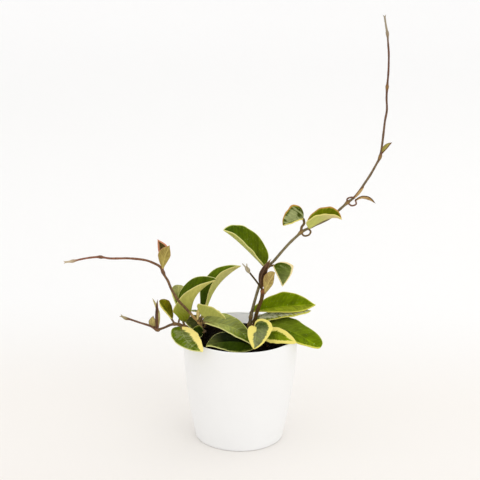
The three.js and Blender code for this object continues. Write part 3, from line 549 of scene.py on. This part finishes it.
def add_blade(shape, leaf, thickness, random):
    """A thick waxy blade: creased along its rib, ridged below it, with a rounded edge."""
    shares = 0.5 - 0.5 * np.cos(np.pi * np.linspace(0, 1, BLADE_ROWS + 1))
    places = np.linspace(-1, 1, 2 * BLADE_COLUMNS + 1)
    sign = np.sign(places)
    reach = 0.5 - 0.5 * np.cos(np.pi * np.abs(places))
    middle = bezier(leaf["rib"], shares)
    length = run_length(middle)
    _, right, up = blade_frame(leaf, shares)
    narrowest = np.where(shares < 0.5, 0.5 * thickness, BLADE_TIP_WIDTH)
    width, rise, pale, lean, limit = np.empty((5, len(shares), len(sign)))
    cosines = np.ones(len(sign))
    widths = []
    for side in (0, 1):
        mine = sign < 0 if side == 0 else sign >= 0
        ripple = np.ones_like(shares)
        for count, size in BLADE_RIPPLES:
            ripple += size * wave(count * shares, random)
        widest = leaf["half"][side] * outline(shares, leaf["belly"][side], leaf["point"][side])
        widest = np.maximum(widest * ripple, narrowest)[:, None]
        fold = math.radians(leaf["fold"][side])
        far = widest * reach[mine]
        crease = np.minimum(CREASE_RADIUS, 0.4 * widest)
        full = widest / (np.hypot(widest, crease) - crease)
        soft = (np.hypot(far, crease) - crease) * full
        slope = far / np.hypot(far, crease) * full
        waves = np.zeros_like(widest)
        for count, size in BLADE_WAVES:
            waves += size * widest * wave(count * shares, random)[:, None]
        quilt = BLADE_QUILT * widest * np.sin(np.pi * reach[mine])
        width[:, mine] = far
        rise[:, mine] = math.sin(fold) * soft + waves * reach[mine] ** 3 + quilt
        lean[:, mine] = math.sin(fold) * slope
        pale[:, mine] = np.interp(shares, (0, 0.5, 1), leaf["margin"][side])[:, None]
        limit[:, mine] = widest
        cosines[mine] = math.cos(fold)
        widths.append(widest)
    edge = limit * (1 - reach)
    surface = (middle[:, None] + right[:, None] * (sign * cosines * width)[..., None]
               + up[:, None] * rise[..., None])
    normal = unit(-right[:, None] * (sign * lean)[..., None] + up[:, None] * cosines[:, None])
    thick = np.minimum(thickness, 1.4 * np.minimum(*widths) + 0.1) / 2
    inward = np.clip(edge / np.minimum(BLADE_EDGE_ROUND, 0.9 * limit), 0, 1)
    half = thick * np.sqrt(np.clip(1 - (1 - inward) ** 2, 0, 1))
    fade = (1 - shares ** 4)[:, None]
    groove = GROOVE_DEPTH * bell(width, 0.8) * fade
    ridge = RIDGE_HEIGHTS[0] + RIDGE_HEIGHTS[1] * (1 - shares[:, None]) ** 3
    ridge = ridge * bell(width, 1.0) * fade
    upper = surface + normal * (half - groove)[..., None]
    lower = surface - normal * (half + ridge)[..., None]

    def around(above, below):
        """One ring for each row: across the upper face and back under the lower one."""
        return np.concatenate([above, below[:, 1:-1][:, ::-1]], 1).reshape(-1, 3)

    columns = len(sign)
    ring = 2 * columns - 2
    blade = np.stack([np.broadcast_to(length[:, None], width.shape), sign * width,
                      np.broadcast_to(shares[:, None], width.shape)], 2)
    under = np.zeros_like(width)
    under[:, 0] = under[:, -1] = 0.5
    top = np.stack([edge, pale, under], 2)
    bottom = np.stack([edge, pale, np.ones_like(width)], 2)
    faces = ring_faces(len(shares), ring)
    last = (len(shares) - 1) * ring
    for column in range(columns - 1):
        a, b = column, column + 1
        c, d = (ring - b) % ring, (ring - a) % ring
        base = [a, b, c] if column == 0 else [a, b, d] if column == columns - 2 else [a, b, c, d]
        faces.append(tuple(base[::-1]))
        faces.append(tuple(last + i for i in base))
    shape.add(around(upper, lower), faces, 0, blade=around(blade, blade),
              edge=around(top, bottom))


def add_leaf_stalk(shape, leaf, start, radius):
    """The stalk swells where it leaves the vine, and thins out along the rib under the blade."""
    under = np.array([0.0, 0.1, 0.22, 0.36])
    rib = bezier(leaf["rib"], under)
    _, _, up = blade_frame(leaf, under)
    rib = rib - up * np.array([0.15, 0.35, 0.55, 0.75])[:, None]
    route, length = smooth_route([*start, *leaf["via"], *rib], STALK_SPACING)
    ends = np.linalg.norm(route[:, None] - rib[None, [0, 3]], axis=2).argmin(0)
    thinning = np.clip((np.arange(len(route)) - ends[0]) / max(1, ends[1] - ends[0]), 0, 1)
    radii = radius * (1 + 0.35 * bell(length, 2.2)) * (1 - 0.62 * thinning)
    stem = np.stack([length, thinning, bell(length, 2.5)], 1)
    add_tube(shape, route, radii, STALK_SIDES, 1, stem)


def make_leaf(leaf, random, stalk_material):
    shape = Shape()
    add_blade(shape, leaf, BLADE_THICKNESS, random)
    if "foot" in leaf:
        start = [(*leaf["foot"], height) for height in FOOT_HEIGHTS]
    else:
        vine, knot = leaf["joint"]
        start = [VINES[vine]["route"][knot]]
    add_leaf_stalk(shape, leaf, start, leaf["stalk"])
    shape.piece(leaf["name"], [leaf_material(leaf), stalk_material], "leaf", leaf["name"])


def make_young_leaf(leaf, random, stalk_material):
    shape = Shape()
    add_blade(shape, leaf, YOUNG_THICKNESS, random)
    add_leaf_stalk(shape, leaf, [leaf["start"]], YOUNG_STALK_RADIUS)
    shape.piece(leaf["name"], [young_material(leaf), stalk_material], "leaf")


# ---------------- vines


def make_vine(name, vine, random, materials):
    shape = Shape()
    route, length = smooth_route(vine["route"], VINE_SPACING)
    points = np.asarray(vine["route"], float)[list(vine["knots"])]
    knots = length[np.linalg.norm(route[:, None] - points[None], axis=2).argmin(0)]
    distance = length[:, None] - knots[None]
    swelling = (KNOT_SWELL * bell(distance, KNOT_LENGTH)).max(1)
    scars = (SCAR_HEIGHT * np.exp(-(np.abs(distance) - 1.1) ** 2 / 0.18)).max(1)
    radii = np.interp(length, (0, length[-1]), vine["radius"]) + swelling + scars
    for wavelength, size in VINE_WAVES:
        radii += size * wave(length / wavelength, random)
    stem = np.stack([length, length / length[-1], bell(distance, 2.6).max(1)], 1)
    add_tube(shape, route, radii, VINE_SIDES, 0, stem)
    if name == "vine_short":
        add_flower_stalk(shape, stem[-1])
    else:
        add_tip_buds(shape, route, radii[-1], stem[-1])
    shape.piece(name, materials, "vine", name)


def add_tip_buds(shape, route, radius, stem):
    """Two tiny furled leaves at the growing tip."""
    along = unit(route[-1] - route[-3])
    side = unit(np.cross(along, (0, 1, 0)))
    for turn in (-1, 1):
        start = route[-1] - along * 1.2
        bud = [start, start + along * 1.6 + side * turn * 0.7,
               start + along * 3 + side * turn * 1.5]
        path, length = smooth_route(bud, 0.5)
        add_tube(shape, path, radius * (0.85 - 0.65 * length / length[-1]), 8, 0, stem)


def add_flower_stalk(shape, stem):
    """A thin stalk, and a knob and buds with a material of their own."""
    path, length = smooth_route(FLOWER_STALK["route"], VINE_SPACING)
    radii = FLOWER_STALK_RADIUS * (1 + 0.25 * bell(length, 2))
    add_tube(shape, path, radii, 14, 0, (stem[0], 0.5, 0))
    path, length = smooth_route(FLOWER_STALK["knob"], 0.3)
    swell = np.sin(np.pi * length / length[-1])
    rings = 0.14 * np.sin(2 * np.pi * length / 1.3)
    radii = FLOWER_STALK_RADIUS + (FLOWER_KNOB_RADIUS - FLOWER_STALK_RADIUS) * swell + rings
    add_tube(shape, path, radii, 16, 1, (stem[0], stem[1], 0))
    for bud in FLOWER_STALK["buds"]:
        path, length = smooth_route(bud, 0.4)
        radii = FLOWER_STALK_RADIUS * (1 - 0.5 * length / length[-1])
        add_tube(shape, path, radii, 10, 1, (stem[0], stem[1], 0))


# ---------------- pot and soil


def wall_profile(inset, top, steps):
    """Points up the pot's outer wall, from heel to rim, drawn in by inset."""
    ends = [(POT_HEEL[0] - inset, POT_HEEL[1]), (POT_SHOULDER[0] - inset, POT_SHOULDER[1]),
            (POT_RIM_RADIUS - inset, top)]
    return [tuple(point) for point in bezier(ends, np.linspace(0, 1, steps + 1))]


def arc(middle, radius, start, end, steps):
    angles = np.radians(np.linspace(start, end, steps + 1))
    return [(middle[0] + radius * math.cos(a), middle[1] + radius * math.sin(a)) for a in angles]


def circles(profile, sides):
    """A level ring of points for each radius and height."""
    angles = circle_angles(sides)
    return [np.stack([r * np.cos(angles), r * np.sin(angles), np.full(sides, z)], 1)
            for r, z in profile]


def make_pot():
    """One body turned about the Z axis. Its inner wall has a material of its own."""
    lip = POT_WALL / 2
    profile = [(POT_FOOT_RADIUS * 0.5, 0), (POT_FOOT_RADIUS - 1.2, 0)]
    profile += arc((POT_FOOT_RADIUS - 0.2, POT_HEEL_ROUND), POT_HEEL_ROUND, -80, -12, 7)
    profile += wall_profile(0, POT_HEIGHT - lip, WALL_STEPS)[1:-1]
    profile += arc((POT_RIM_RADIUS - lip, POT_HEIGHT - lip), lip, 0, 180, 12)
    outer_faces = (len(profile) - 1) * POT_SIDES
    profile += wall_profile(POT_WALL, POT_HEIGHT - lip, WALL_STEPS)[::-1][1:-1]
    inner = (POT_HEEL[0] - POT_WALL - 1, POT_FLOOR)
    profile += [inner, (inner[0] * 0.5, POT_FLOOR)]
    shape = Shape()
    points = np.vstack(circles(profile, POT_SIDES) + [[(0, 0, 0), (0, 0, POT_FLOOR)]])
    shape.add(points, closed_faces(len(profile), POT_SIDES), 0)
    inner_faces = len(shape.slots) - outer_faces - 2 * POT_SIDES
    shape.slots[outer_faces:outer_faces + inner_faces] = [1] * inner_faces
    shape.piece("pot", [pot_material(False), pot_material(True)], "pot", "pot")


def lumps(x, y, random, count, size):
    """Smooth random relief: a sum of plane waves in random directions."""
    total = np.zeros_like(x)
    for _ in range(count):
        turn = random.random() * np.pi
        length = size * (0.6 + 0.8 * random.random())
        phase = random.random() * 2 * np.pi
        total += np.sin(2 * np.pi * (x * math.cos(turn) + y * math.sin(turn)) / length + phase)
    return total / math.sqrt(count)


def mound(share):
    """Height of the smooth soil, at a share of the way from the middle to the edge."""
    return SOIL_EDGE_HEIGHT + SOIL_MOUND * (1 - share ** 2)


def soil_height(x, y, random):
    share = np.hypot(x, y) / SOIL_RADIUS
    relief = sum(height * lumps(x, y, random, count, size) for height, count, size in SOIL_RELIEF)
    return mound(share) + relief * np.clip((1 - share) * 12 + 0.25, 0, 1)


def make_soil(material, random):
    """The potting mix: a rough surface with crumbs and bits of bark lying on it."""
    shape = Shape()
    angles = circle_angles(SOIL_SIDES)
    radii = np.linspace(SOIL_RADIUS, 0, SOIL_RINGS, endpoint=False)
    x = np.outer(radii, np.cos(angles))
    y = np.outer(radii, np.sin(angles))
    z = soil_height(x, y, random)
    wall = [(r - SOIL_GAP, h) for r, h in wall_profile(POT_WALL, POT_HEIGHT, 8) if 8 < h < 100]
    foot = POT_FLOOR + SOIL_GAP
    rings = circles([(POT_HEEL[0] - POT_WALL - 1.5, foot)] + wall, SOIL_SIDES)
    rings += list(np.stack([x, y, z], 2))
    points = np.vstack(rings + [[(0, 0, foot), (0, 0, z[-1].mean())]])
    shape.add(points, closed_faces(len(rings), SOIL_SIDES), 0)
    for _ in range(CRUMBS):
        add_crumb(shape, random)
    shape.piece("soil", [material], "soil", "soil")


CRUMB = unit([way * axis for axis in np.eye(3) for way in (1, -1)]
             + [(x, y, z) for z in (1, -1) for y in (1, -1) for x in (1, -1)])
CRUMB_FANS = {4: (6, 7, 9, 8), 0: (6, 8, 12, 10), 2: (7, 6, 10, 11), 1: (9, 7, 11, 13),
              3: (8, 9, 13, 12), 5: (10, 12, 13, 11)}
CRUMB_FACES = [(tip, fan[i], fan[(i + 1) % 4]) for tip, fan in CRUMB_FANS.items()
               for i in range(4)]


def add_crumb(shape, random):
    """One irregular crumb of soil or sliver of bark, half sunk into the surface."""
    distance = (SOIL_RADIUS - 2.5) * math.sqrt(random.random())
    turn = random.random() * 2 * np.pi
    size = 0.5 + 1.3 * random.random() ** 3
    stretch = np.array([1, 0.6 + 0.4 * random.random(), 0.5 + 0.4 * random.random()])
    if random.random() < BARK_SHARE:
        stretch = np.array([2.2, 0.5, 0.35])
    turns = random.random(2) * np.pi
    roll = np.array(Matrix.Rotation(turns[0], 3, "Z") @ Matrix.Rotation(0.4 * turns[1], 3, "Y"))
    points = CRUMB * (1 + 0.25 * (random.random((len(CRUMB), 1)) - 0.5)) * stretch * size
    place = np.array([distance * math.cos(turn), distance * math.sin(turn),
                      mound(distance / SOIL_RADIUS) + 0.25 * size])
    shape.add(points @ roll.T + place, CRUMB_FACES, 0, stem=(random.random(), 0, 0))


# ---------------- materials


class Nodes:
    """Short names for the shader nodes that the materials are made of."""

    def __init__(self, name):
        self.material = bpy.data.materials.new(name)
        self.material.use_nodes = True
        self.tree = self.material.node_tree
        self.shader = self.tree.nodes["Principled BSDF"]

    def node(self, kind, inputs=(), **settings):
        made = self.tree.nodes.new(kind)
        for key, value in settings.items():
            setattr(made, key, value)
        for key, value in dict(inputs).items():
            self.plug(made.inputs[key], value)
        return made

    def plug(self, socket, value):
        if isinstance(value, bpy.types.NodeSocket):
            self.tree.links.new(value, socket)
        elif socket.type == "RGBA":
            socket.default_value = (*value, 1)
        else:
            socket.default_value = value

    def set(self, **inputs):
        """Sets inputs of the Principled shader; an underscore stands for a space."""
        for key, value in inputs.items():
            self.plug(self.shader.inputs[key.replace("_", " ")], value)

    def math(self, operation, first, second=0.0, third=0.0):
        made = self.node("ShaderNodeMath", {0: first, 1: second, 2: third}, operation=operation)
        return made.outputs[0]

    def times(self, first, second):
        return self.math("MULTIPLY", first, second)

    def line(self, value, slope, start):
        """The value times the slope, plus the start."""
        return self.math("MULTIPLY_ADD", value, slope, start)

    def most(self, first, second):
        return self.math("MAXIMUM", first, second)

    def vector(self, x=0.0, y=0.0, z=0.0):
        return self.node("ShaderNodeCombineXYZ", {"X": x, "Y": y, "Z": z}).outputs[0]

    def parts(self, vector):
        return self.node("ShaderNodeSeparateXYZ", {0: vector}).outputs

    def split(self, attribute):
        read = self.node("ShaderNodeAttribute", attribute_name=attribute)
        return tuple(self.parts(read.outputs["Vector"]))

    def place(self):
        return self.node("ShaderNodeTexCoord").outputs["Object"]

    def noise(self, vector, scale, detail=2.0, roughness=0.5):
        """Scale is per metre in object space, and per millimetre in a blade's."""
        inputs = {"Vector": vector, "Scale": scale, "Detail": detail, "Roughness": roughness}
        return self.node("ShaderNodeTexNoise", inputs).outputs["Fac"]

    def grain(self, scale, detail=2.0):
        return self.noise(self.place(), scale, detail)

    def step(self, value, low, high):
        """0 at low, 1 at high, smooth between; low may be above high."""
        inputs = {"Value": value, "From Min": low, "From Max": high}
        made = self.node("ShaderNodeMapRange", inputs, interpolation_type="SMOOTHSTEP")
        return made.outputs[0]

    def mix(self, share, first, second):
        made = self.node("ShaderNodeMix", data_type="RGBA")
        self.plug(made.inputs[0], share)
        self.plug(made.inputs[6], first)
        self.plug(made.inputs[7], second)
        return made.outputs[2]

    def scale(self, colour, factor):
        made = self.node("ShaderNodeVectorMath", {"Vector": colour, "Scale": factor},
                         operation="SCALE")
        return made.outputs["Vector"]

    def bump(self, height, strength, distance):
        inputs = {"Height": height, "Strength": strength, "Distance": distance}
        return self.node("ShaderNodeBump", inputs).outputs[0]


LIGHT_GREEN = (0.36, 0.42, 0.05)
SPECK = (0.50, 0.54, 0.26)
UNDER_CREAM = (0.70, 0.62, 0.22)
VEIN_SPACING = 4.6
YOUNG_VEIN_SPACING = 2.6


def veins(nodes, along, across, spacing):
    """The slant that patterns follow, and lines: along it on both sides, and down the rib."""
    away = nodes.math("ABSOLUTE", across)
    slant = nodes.line(away, -0.75, along)
    wander = nodes.noise(nodes.vector(along, across), 0.16, 1.0)
    phase = nodes.line(wander, 1.4, nodes.math("DIVIDE", slant, spacing))
    gap = nodes.math("ABSOLUTE", nodes.math("SUBTRACT", nodes.math("FRACT", phase), 0.5))
    lateral = nodes.step(gap, 0.10, 0.0)
    return slant, lateral, nodes.most(lateral, nodes.step(away, 0.75, 0.2))


def leaf_material(leaf):
    """Waxy green, splashed with grey-green that is partly the leaf's own and partly painted sheen,
    with an uneven cream margin and a pale underside.
    """
    nodes = Nodes(leaf["name"] + "_waxy")
    amount = leaf["silver"]
    along, across, share = nodes.split("blade")
    inset, margin, under = nodes.split("edge")
    slant, lateral, lines = veins(nodes, along, across, VEIN_SPACING)
    towards_tip = nodes.step(share, *leaf["turn"])
    towards_right = nodes.step(across, -0.6, 0.6)

    # How pale: the margin's width wanders, and the wide margins end softly.
    streaks = nodes.vector(nodes.times(slant, 0.42), nodes.times(across, 0.1))
    lobes = nodes.math("SUBTRACT", nodes.noise(streaks, 1.0, 3.0, 0.6), 0.5)
    border = nodes.line(lobes, nodes.line(margin, 0.9, 0.4), margin)
    inside = nodes.math("SUBTRACT", inset, border)
    pale = nodes.step(nodes.math("DIVIDE", inside, nodes.line(margin, 0.35, 1.0)), 0.3, -0.2)

    # The upper face: shaded greens with a lighter fringe, grey-green splashes and flecks that are
    # partly the leaf's own and partly painted sheen, specks and veins.
    halves = [nodes.mix(towards_tip, base, tip) for base, tip in leaf["greens"]]
    green = nodes.mix(towards_right, *halves)
    shade = nodes.noise(nodes.vector(slant, across, 9.0), 0.12, 3.0)
    green = nodes.scale(green, nodes.line(shade, 1.4, 0.3))
    patches = nodes.noise(nodes.vector(slant, across, 3.0), 0.17)
    fringe = nodes.step(nodes.line(patches, -8.0, inside), -2.5, -5.0)
    green = nodes.mix(nodes.times(fringe, 0.4), green, LIGHT_GREEN)
    # Grey-green splashes: partly the leaf's own pattern, partly painted sheen.
    streaks = nodes.vector(nodes.times(slant, 0.30), nodes.times(across, 0.09), 5.0)
    deep = nodes.math("MINIMUM", nodes.most(inside, 0.0), 6.0)
    splashes = nodes.line(deep, 0.03 * amount ** 2, nodes.noise(streaks, 1.0, 3.0))
    silver = nodes.step(splashes, 0.76 - 0.22 * amount, 0.88 - 0.22 * amount)
    flecks = nodes.step(nodes.grain(1100.0), 0.60, 0.70)
    silver = nodes.most(nodes.times(silver, amount), nodes.times(flecks, 0.03 + 0.5 * amount))
    green = nodes.mix(silver, green, leaf["splash"])
    specks = nodes.step(nodes.grain(700.0, 1.0), 0.70, 0.76)
    green = nodes.mix(nodes.times(specks, amount), green, SPECK)
    green = nodes.scale(green, nodes.line(lines, 0.45, 0.95))
    upper = nodes.mix(pale, green, nodes.mix(towards_right, *leaf["edges"]))

    mottle = nodes.noise(nodes.vector(slant, across, 1.0), 0.30, 3.0)
    below = nodes.scale(nodes.mix(towards_tip, *leaf["under"]), nodes.line(mottle, 0.5, 0.75))
    creamy = nodes.most(nodes.times(lines, 0.25), nodes.times(pale, 0.8))
    below = nodes.mix(creamy, below, UNDER_CREAM)

    fine = nodes.grain(2600.0)
    height = nodes.line(lateral, -0.5, nodes.times(fine, 0.3))
    nodes.set(Base_Color=nodes.mix(nodes.step(under, 0.35, 0.65), upper, below),
              Roughness=nodes.line(mottle, 0.16, 0.36), Specular_IOR_Level=0.02,
              Normal=nodes.bump(height, 0.35, 0.0004))
    return nodes.material


def young_material(leaf):
    """Soft young blade: tan to brown, with an edge of its own colour and clear veins."""
    nodes = Nodes(leaf["name"] + "_soft")
    along, across, _ = nodes.split("blade")
    inset, _, _ = nodes.split("edge")
    slant, lateral, lines = veins(nodes, along, across, YOUNG_VEIN_SPACING)
    dark, bright = leaf["green"]
    patches = nodes.noise(nodes.vector(slant, across, 2.0), 0.28, 3.0)
    body = nodes.mix(nodes.step(patches, 0.3, 0.7), dark, bright)
    lighter = tuple(min(1.0, 1.5 * channel + 0.03) for channel in bright)
    body = nodes.mix(nodes.times(lines, 0.45), body, lighter)
    ragged = nodes.line(nodes.grain(260.0), -0.9, inset)
    rim_colour, rim_width = leaf["rim"]
    body = nodes.mix(nodes.step(ragged, rim_width, rim_width - 0.5), body, rim_colour)
    height = nodes.line(lateral, -0.6, nodes.times(nodes.grain(2200.0), 0.4))
    nodes.set(Base_Color=body, Roughness=nodes.line(patches, 0.2, 0.42), Specular_IOR_Level=0.08,
              Normal=nodes.bump(height, 0.4, 0.0004))
    return nodes.material


DARK_BARK = (0.05, 0.03, 0.02)
BARK_SPECK = (0.42, 0.34, 0.22)
# Near black at a vine's foot: painted shade where it rises above the soil.
SHADED_BARK_FOOT = (0.020, 0.012, 0.006)


def vine_material(name, low, high, knot, foot=None, tip=None):
    """Woody skin that changes from low to high along the vine, with streaks, specks and knots.

    A foot colour fades in just above the soil, over bark that is near black low down, both in the
    soil and some way above it, where the near black is painted shade, and a tip colour at the very
    end.
    """
    nodes = Nodes(name)
    length, share, closeness = nodes.split("stem")
    place = nodes.place()
    stretched = nodes.node("ShaderNodeVectorMath", {0: place, 1: (1.0, 1.0, 0.35)},
                           operation="MULTIPLY").outputs[0]
    streaks = nodes.noise(stretched, 900.0, 3.0, 0.6)
    body = nodes.mix(nodes.step(share, 0.35, 0.9), low, high)
    body = nodes.mix(nodes.step(streaks, 0.62, 0.38), body, nodes.mix(0.55, body, DARK_BARK))
    specks = nodes.step(nodes.noise(place, 1500.0, 1.0), 0.66, 0.74)
    body = nodes.mix(nodes.times(specks, 0.5), body, BARK_SPECK)
    body = nodes.mix(nodes.times(closeness, 0.70), body, knot)
    if foot:
        body = nodes.mix(nodes.times(nodes.step(share, 0.30, 0.24), 0.85), body, foot)
        # Near black at the very foot, also above the soil line: painted shade.
        body = nodes.mix(nodes.step(share, 0.17, 0.14), body, SHADED_BARK_FOOT)
    if tip:
        body = nodes.mix(nodes.step(share, 0.93, 0.975), body, tip)
    height = nodes.line(nodes.math("SINE", nodes.times(length, 2.4)), 0.12, streaks)
    nodes.set(Base_Color=body, Roughness=nodes.line(streaks, 0.25, 0.48),
              Specular_IOR_Level=0.04, Normal=nodes.bump(height, 0.5, 0.0005))
    return nodes.material


POT_WHITES = ((0.865, 0.870, 0.876), (0.890, 0.895, 0.900))
LOW_DARK = (0.014, 0.010, 0.005)
LOW_DARK_MIDDLE = -0.036
LOW_DARK_TOP = 0.1078


def pot_material(inside):
    """Smooth white plastic. Inside, light comes through the thin wall, and low down at the back
    left, just above the soil, it is near black."""
    nodes = Nodes("pot_white_inside" if inside else "pot_white")
    place = nodes.place()
    body = nodes.mix(nodes.noise(place, 24.0, 3.0), *POT_WHITES)
    glow = 0.0
    if inside:
        # Near black low on the wall at the back left, rising in a ragged bulge; no light comes
        # through where it is dark.
        x, y, z = nodes.parts(place)
        aside = nodes.math("ABSOLUTE", nodes.math("SUBTRACT", x, LOW_DARK_MIDDLE))
        bulge = nodes.times(nodes.step(aside, 0.020, 0.005), nodes.step(y, 0.0, 0.035))
        ragged = nodes.line(nodes.noise(place, 150.0, 3.0), 0.006, 0.0055)
        above = nodes.math("SUBTRACT", z, nodes.times(bulge, ragged))
        darkened = nodes.step(above, LOW_DARK_TOP + 0.0008, LOW_DARK_TOP)
        body = nodes.mix(darkened, body, LOW_DARK)
        glow = nodes.math("SUBTRACT", 1.0, darkened)
    nodes.set(Base_Color=body, Roughness=nodes.line(nodes.noise(place, 90.0, 3.0), 0.14, 0.30),
              Specular_IOR_Level=0.4, Coat_Weight=0.2, Coat_Roughness=0.15,
              Subsurface_Weight=glow, Subsurface_Radius=(1.0, 1.0, 1.0), Subsurface_Scale=0.012,
              Normal=nodes.bump(nodes.noise(place, 700.0), 0.06, 0.0003))
    return nodes.material


# The near blacks of the mix are partly its own colour and partly painted shade.
SOIL_DARK_AND_SHADE = ((0.0015, 0.0010, 0.0005), (0.010, 0.006, 0.003))
CRUMB_BROWN = (0.060, 0.034, 0.016)
FIBRE = (0.10, 0.065, 0.035)


def soil_material():
    """Nearly black potting mix, partly its own dark colour and partly painted shade, with brown
    crumbs and a few pale fibres.
    """
    nodes = Nodes("soil_crumbs")
    place = nodes.place()
    grain = nodes.noise(place, 420.0, 4.0, 0.65)
    body = nodes.mix(nodes.step(grain, 0.35, 0.7), *SOIL_DARK_AND_SHADE)
    crumb, _, _ = nodes.split("stem")
    body = nodes.mix(nodes.step(crumb, 0.80, 1.0), body, CRUMB_BROWN)
    fibres = nodes.step(nodes.noise(place, 900.0, 1.0), 0.72, 0.78)
    body = nodes.mix(nodes.times(fibres, 0.6), body, FIBRE)
    nodes.set(Base_Color=body, Roughness=0.95, Specular_IOR_Level=0.03,
              Normal=nodes.bump(grain, 0.8, 0.001))
    return nodes.material


# ---------------- studio

CAMERA_PLACE = Vector((0.5, -1500, 703.3)) * MM
CAMERA_PITCH = math.radians(17.65)
CAMERA_YAW = math.radians(-0.10)
CAMERA_ROLL = math.radians(0.85)
CAMERA_LENS = 110.2
CAMERA_SENSOR = 36


def make_camera():
    camera = new_object("camera", bpy.data.cameras.new("camera"))
    turn = Matrix.Rotation(-CAMERA_YAW, 4, "Z")
    turn @= Matrix.Rotation(math.pi / 2 - CAMERA_PITCH, 4, "X")
    turn @= Matrix.Rotation(CAMERA_ROLL, 4, "Z")
    camera.matrix_world = Matrix.Translation(CAMERA_PLACE) @ turn
    camera.data.lens = CAMERA_LENS
    camera.data.sensor_width = CAMERA_SENSOR
    camera.data.clip_start = 0.05
    camera.data.clip_end = 30
    bpy.context.scene.camera = camera


FLOOR_UNDER = ((0.865, 0.838, 0.81), (0.875, 0.848, 0.82))
FLOOR_FRONT_SHADE = (0.835, 0.795, 0.755)
FLOOR_BACK_LIT = ((0.90, 0.90, 0.90), (0.93, 0.93, 0.935))
FLOOR_REACH = (-2.5, 2.2)
SWEEP_RADIUS = 1.5


def floor_material():
    """Pale and faintly warm under the pot; darker in front, which is painted shade, and whiter
    towards the back, which is painted light.
    """
    nodes = Nodes("floor_white")
    place = nodes.place()
    back = nodes.parts(place)[1]
    near = nodes.mix(nodes.noise(place, 1.2), *FLOOR_UNDER)
    # Darker in front of the pot: painted shade.
    near = nodes.mix(nodes.step(back, -0.07, -0.24), near, FLOOR_FRONT_SHADE)
    # Whiter towards the back: painted light on the far sweep.
    far = nodes.mix(nodes.step(back, 1.4, 2.8), *FLOOR_BACK_LIT)
    nodes.set(Base_Color=nodes.mix(nodes.step(back, 0.05, 0.45), near, far), Roughness=0.8,
              Specular_IOR_Level=0.1)
    return nodes.material


def make_floor():
    """A wide pale sweep in metres: flat under the pot, curving up far behind it."""
    front, back = FLOOR_REACH
    profile = [(front, 0), (back, 0)]
    profile += [(back + SWEEP_RADIUS * math.sin(a), SWEEP_RADIUS - SWEEP_RADIUS * math.cos(a))
                for a in np.radians(np.linspace(6, 90, 15))]
    profile += [(back + SWEEP_RADIUS, 4)]
    points = [(x, y, z) for y, z in profile for x in (-6, 6)]
    faces = [(2 * i, 2 * i + 1, 2 * i + 3, 2 * i + 2) for i in range(len(profile) - 1)]
    mesh = bpy.data.meshes.new("floor")
    mesh.from_pydata(points, [], faces)
    mesh.polygons.foreach_set("use_smooth", [True] * len(faces))
    mesh.materials.append(floor_material())
    floor = new_object("floor", mesh)


def add_light(name, place, power, size, colour):
    light = bpy.data.lights.new(name, "AREA")
    light.energy = power
    light.size = size
    light.color = colour
    item = new_object(name, light)
    item.location = place
    aim = Vector((0, 0, 0.18)) - Vector(place)
    item.rotation_euler = aim.to_track_quat("-Z", "Y").to_euler()


def make_studio():
    make_camera()
    make_floor()
    add_light("top_back", (0.7, 0.9, 1.6), 1.8, 1.8, (1.0, 1.0, 1.0))
    add_light("front_right", (1.3, -1.7, 1.2), 6, 1.6, (0.97, 0.99, 1.0))
    world = bpy.data.worlds.new("studio")
    world.use_nodes = True
    background = world.node_tree.nodes["Background"]
    background.inputs["Color"].default_value = (1.0, 0.993, 0.98, 1)
    background.inputs["Strength"].default_value = 1.06
    bpy.context.scene.world = world
    bpy.context.scene.view_settings.view_transform = "Standard"


# ---------------- the plant

KNOB_COLOUR = (0.50, 0.43, 0.28)
STALK_BARK = ((0.22, 0.14, 0.06), (0.34, 0.25, 0.09), (0.24, 0.13, 0.07))
YOUNG_STALK_BARK = ((0.26, 0.13, 0.08), (0.32, 0.20, 0.10), (0.30, 0.16, 0.09))

random_source = np.random.RandomState(SEED)
make_studio()
make_pot()
make_soil(soil_material(), random_source)

knob = vine_material("flower_knob", KNOB_COLOUR, KNOB_COLOUR, KNOB_COLOUR)
for vine_name, vine in VINES.items():
    bark = vine_material(vine_name + "_bark", *vine["bark"])
    barks = [bark, knob] if vine_name == "vine_short" else [bark]
    make_vine(vine_name, vine, random_source, barks)

leaf_stalks = vine_material("leaf_stalks", *STALK_BARK)
young_stalks = vine_material("young_stalks", *YOUNG_STALK_BARK)
for leaf in LEAVES:
    make_leaf(leaf, random_source, leaf_stalks)
for leaf in YOUNG_LEAVES:
    make_young_leaf(leaf, random_source, young_stalks)
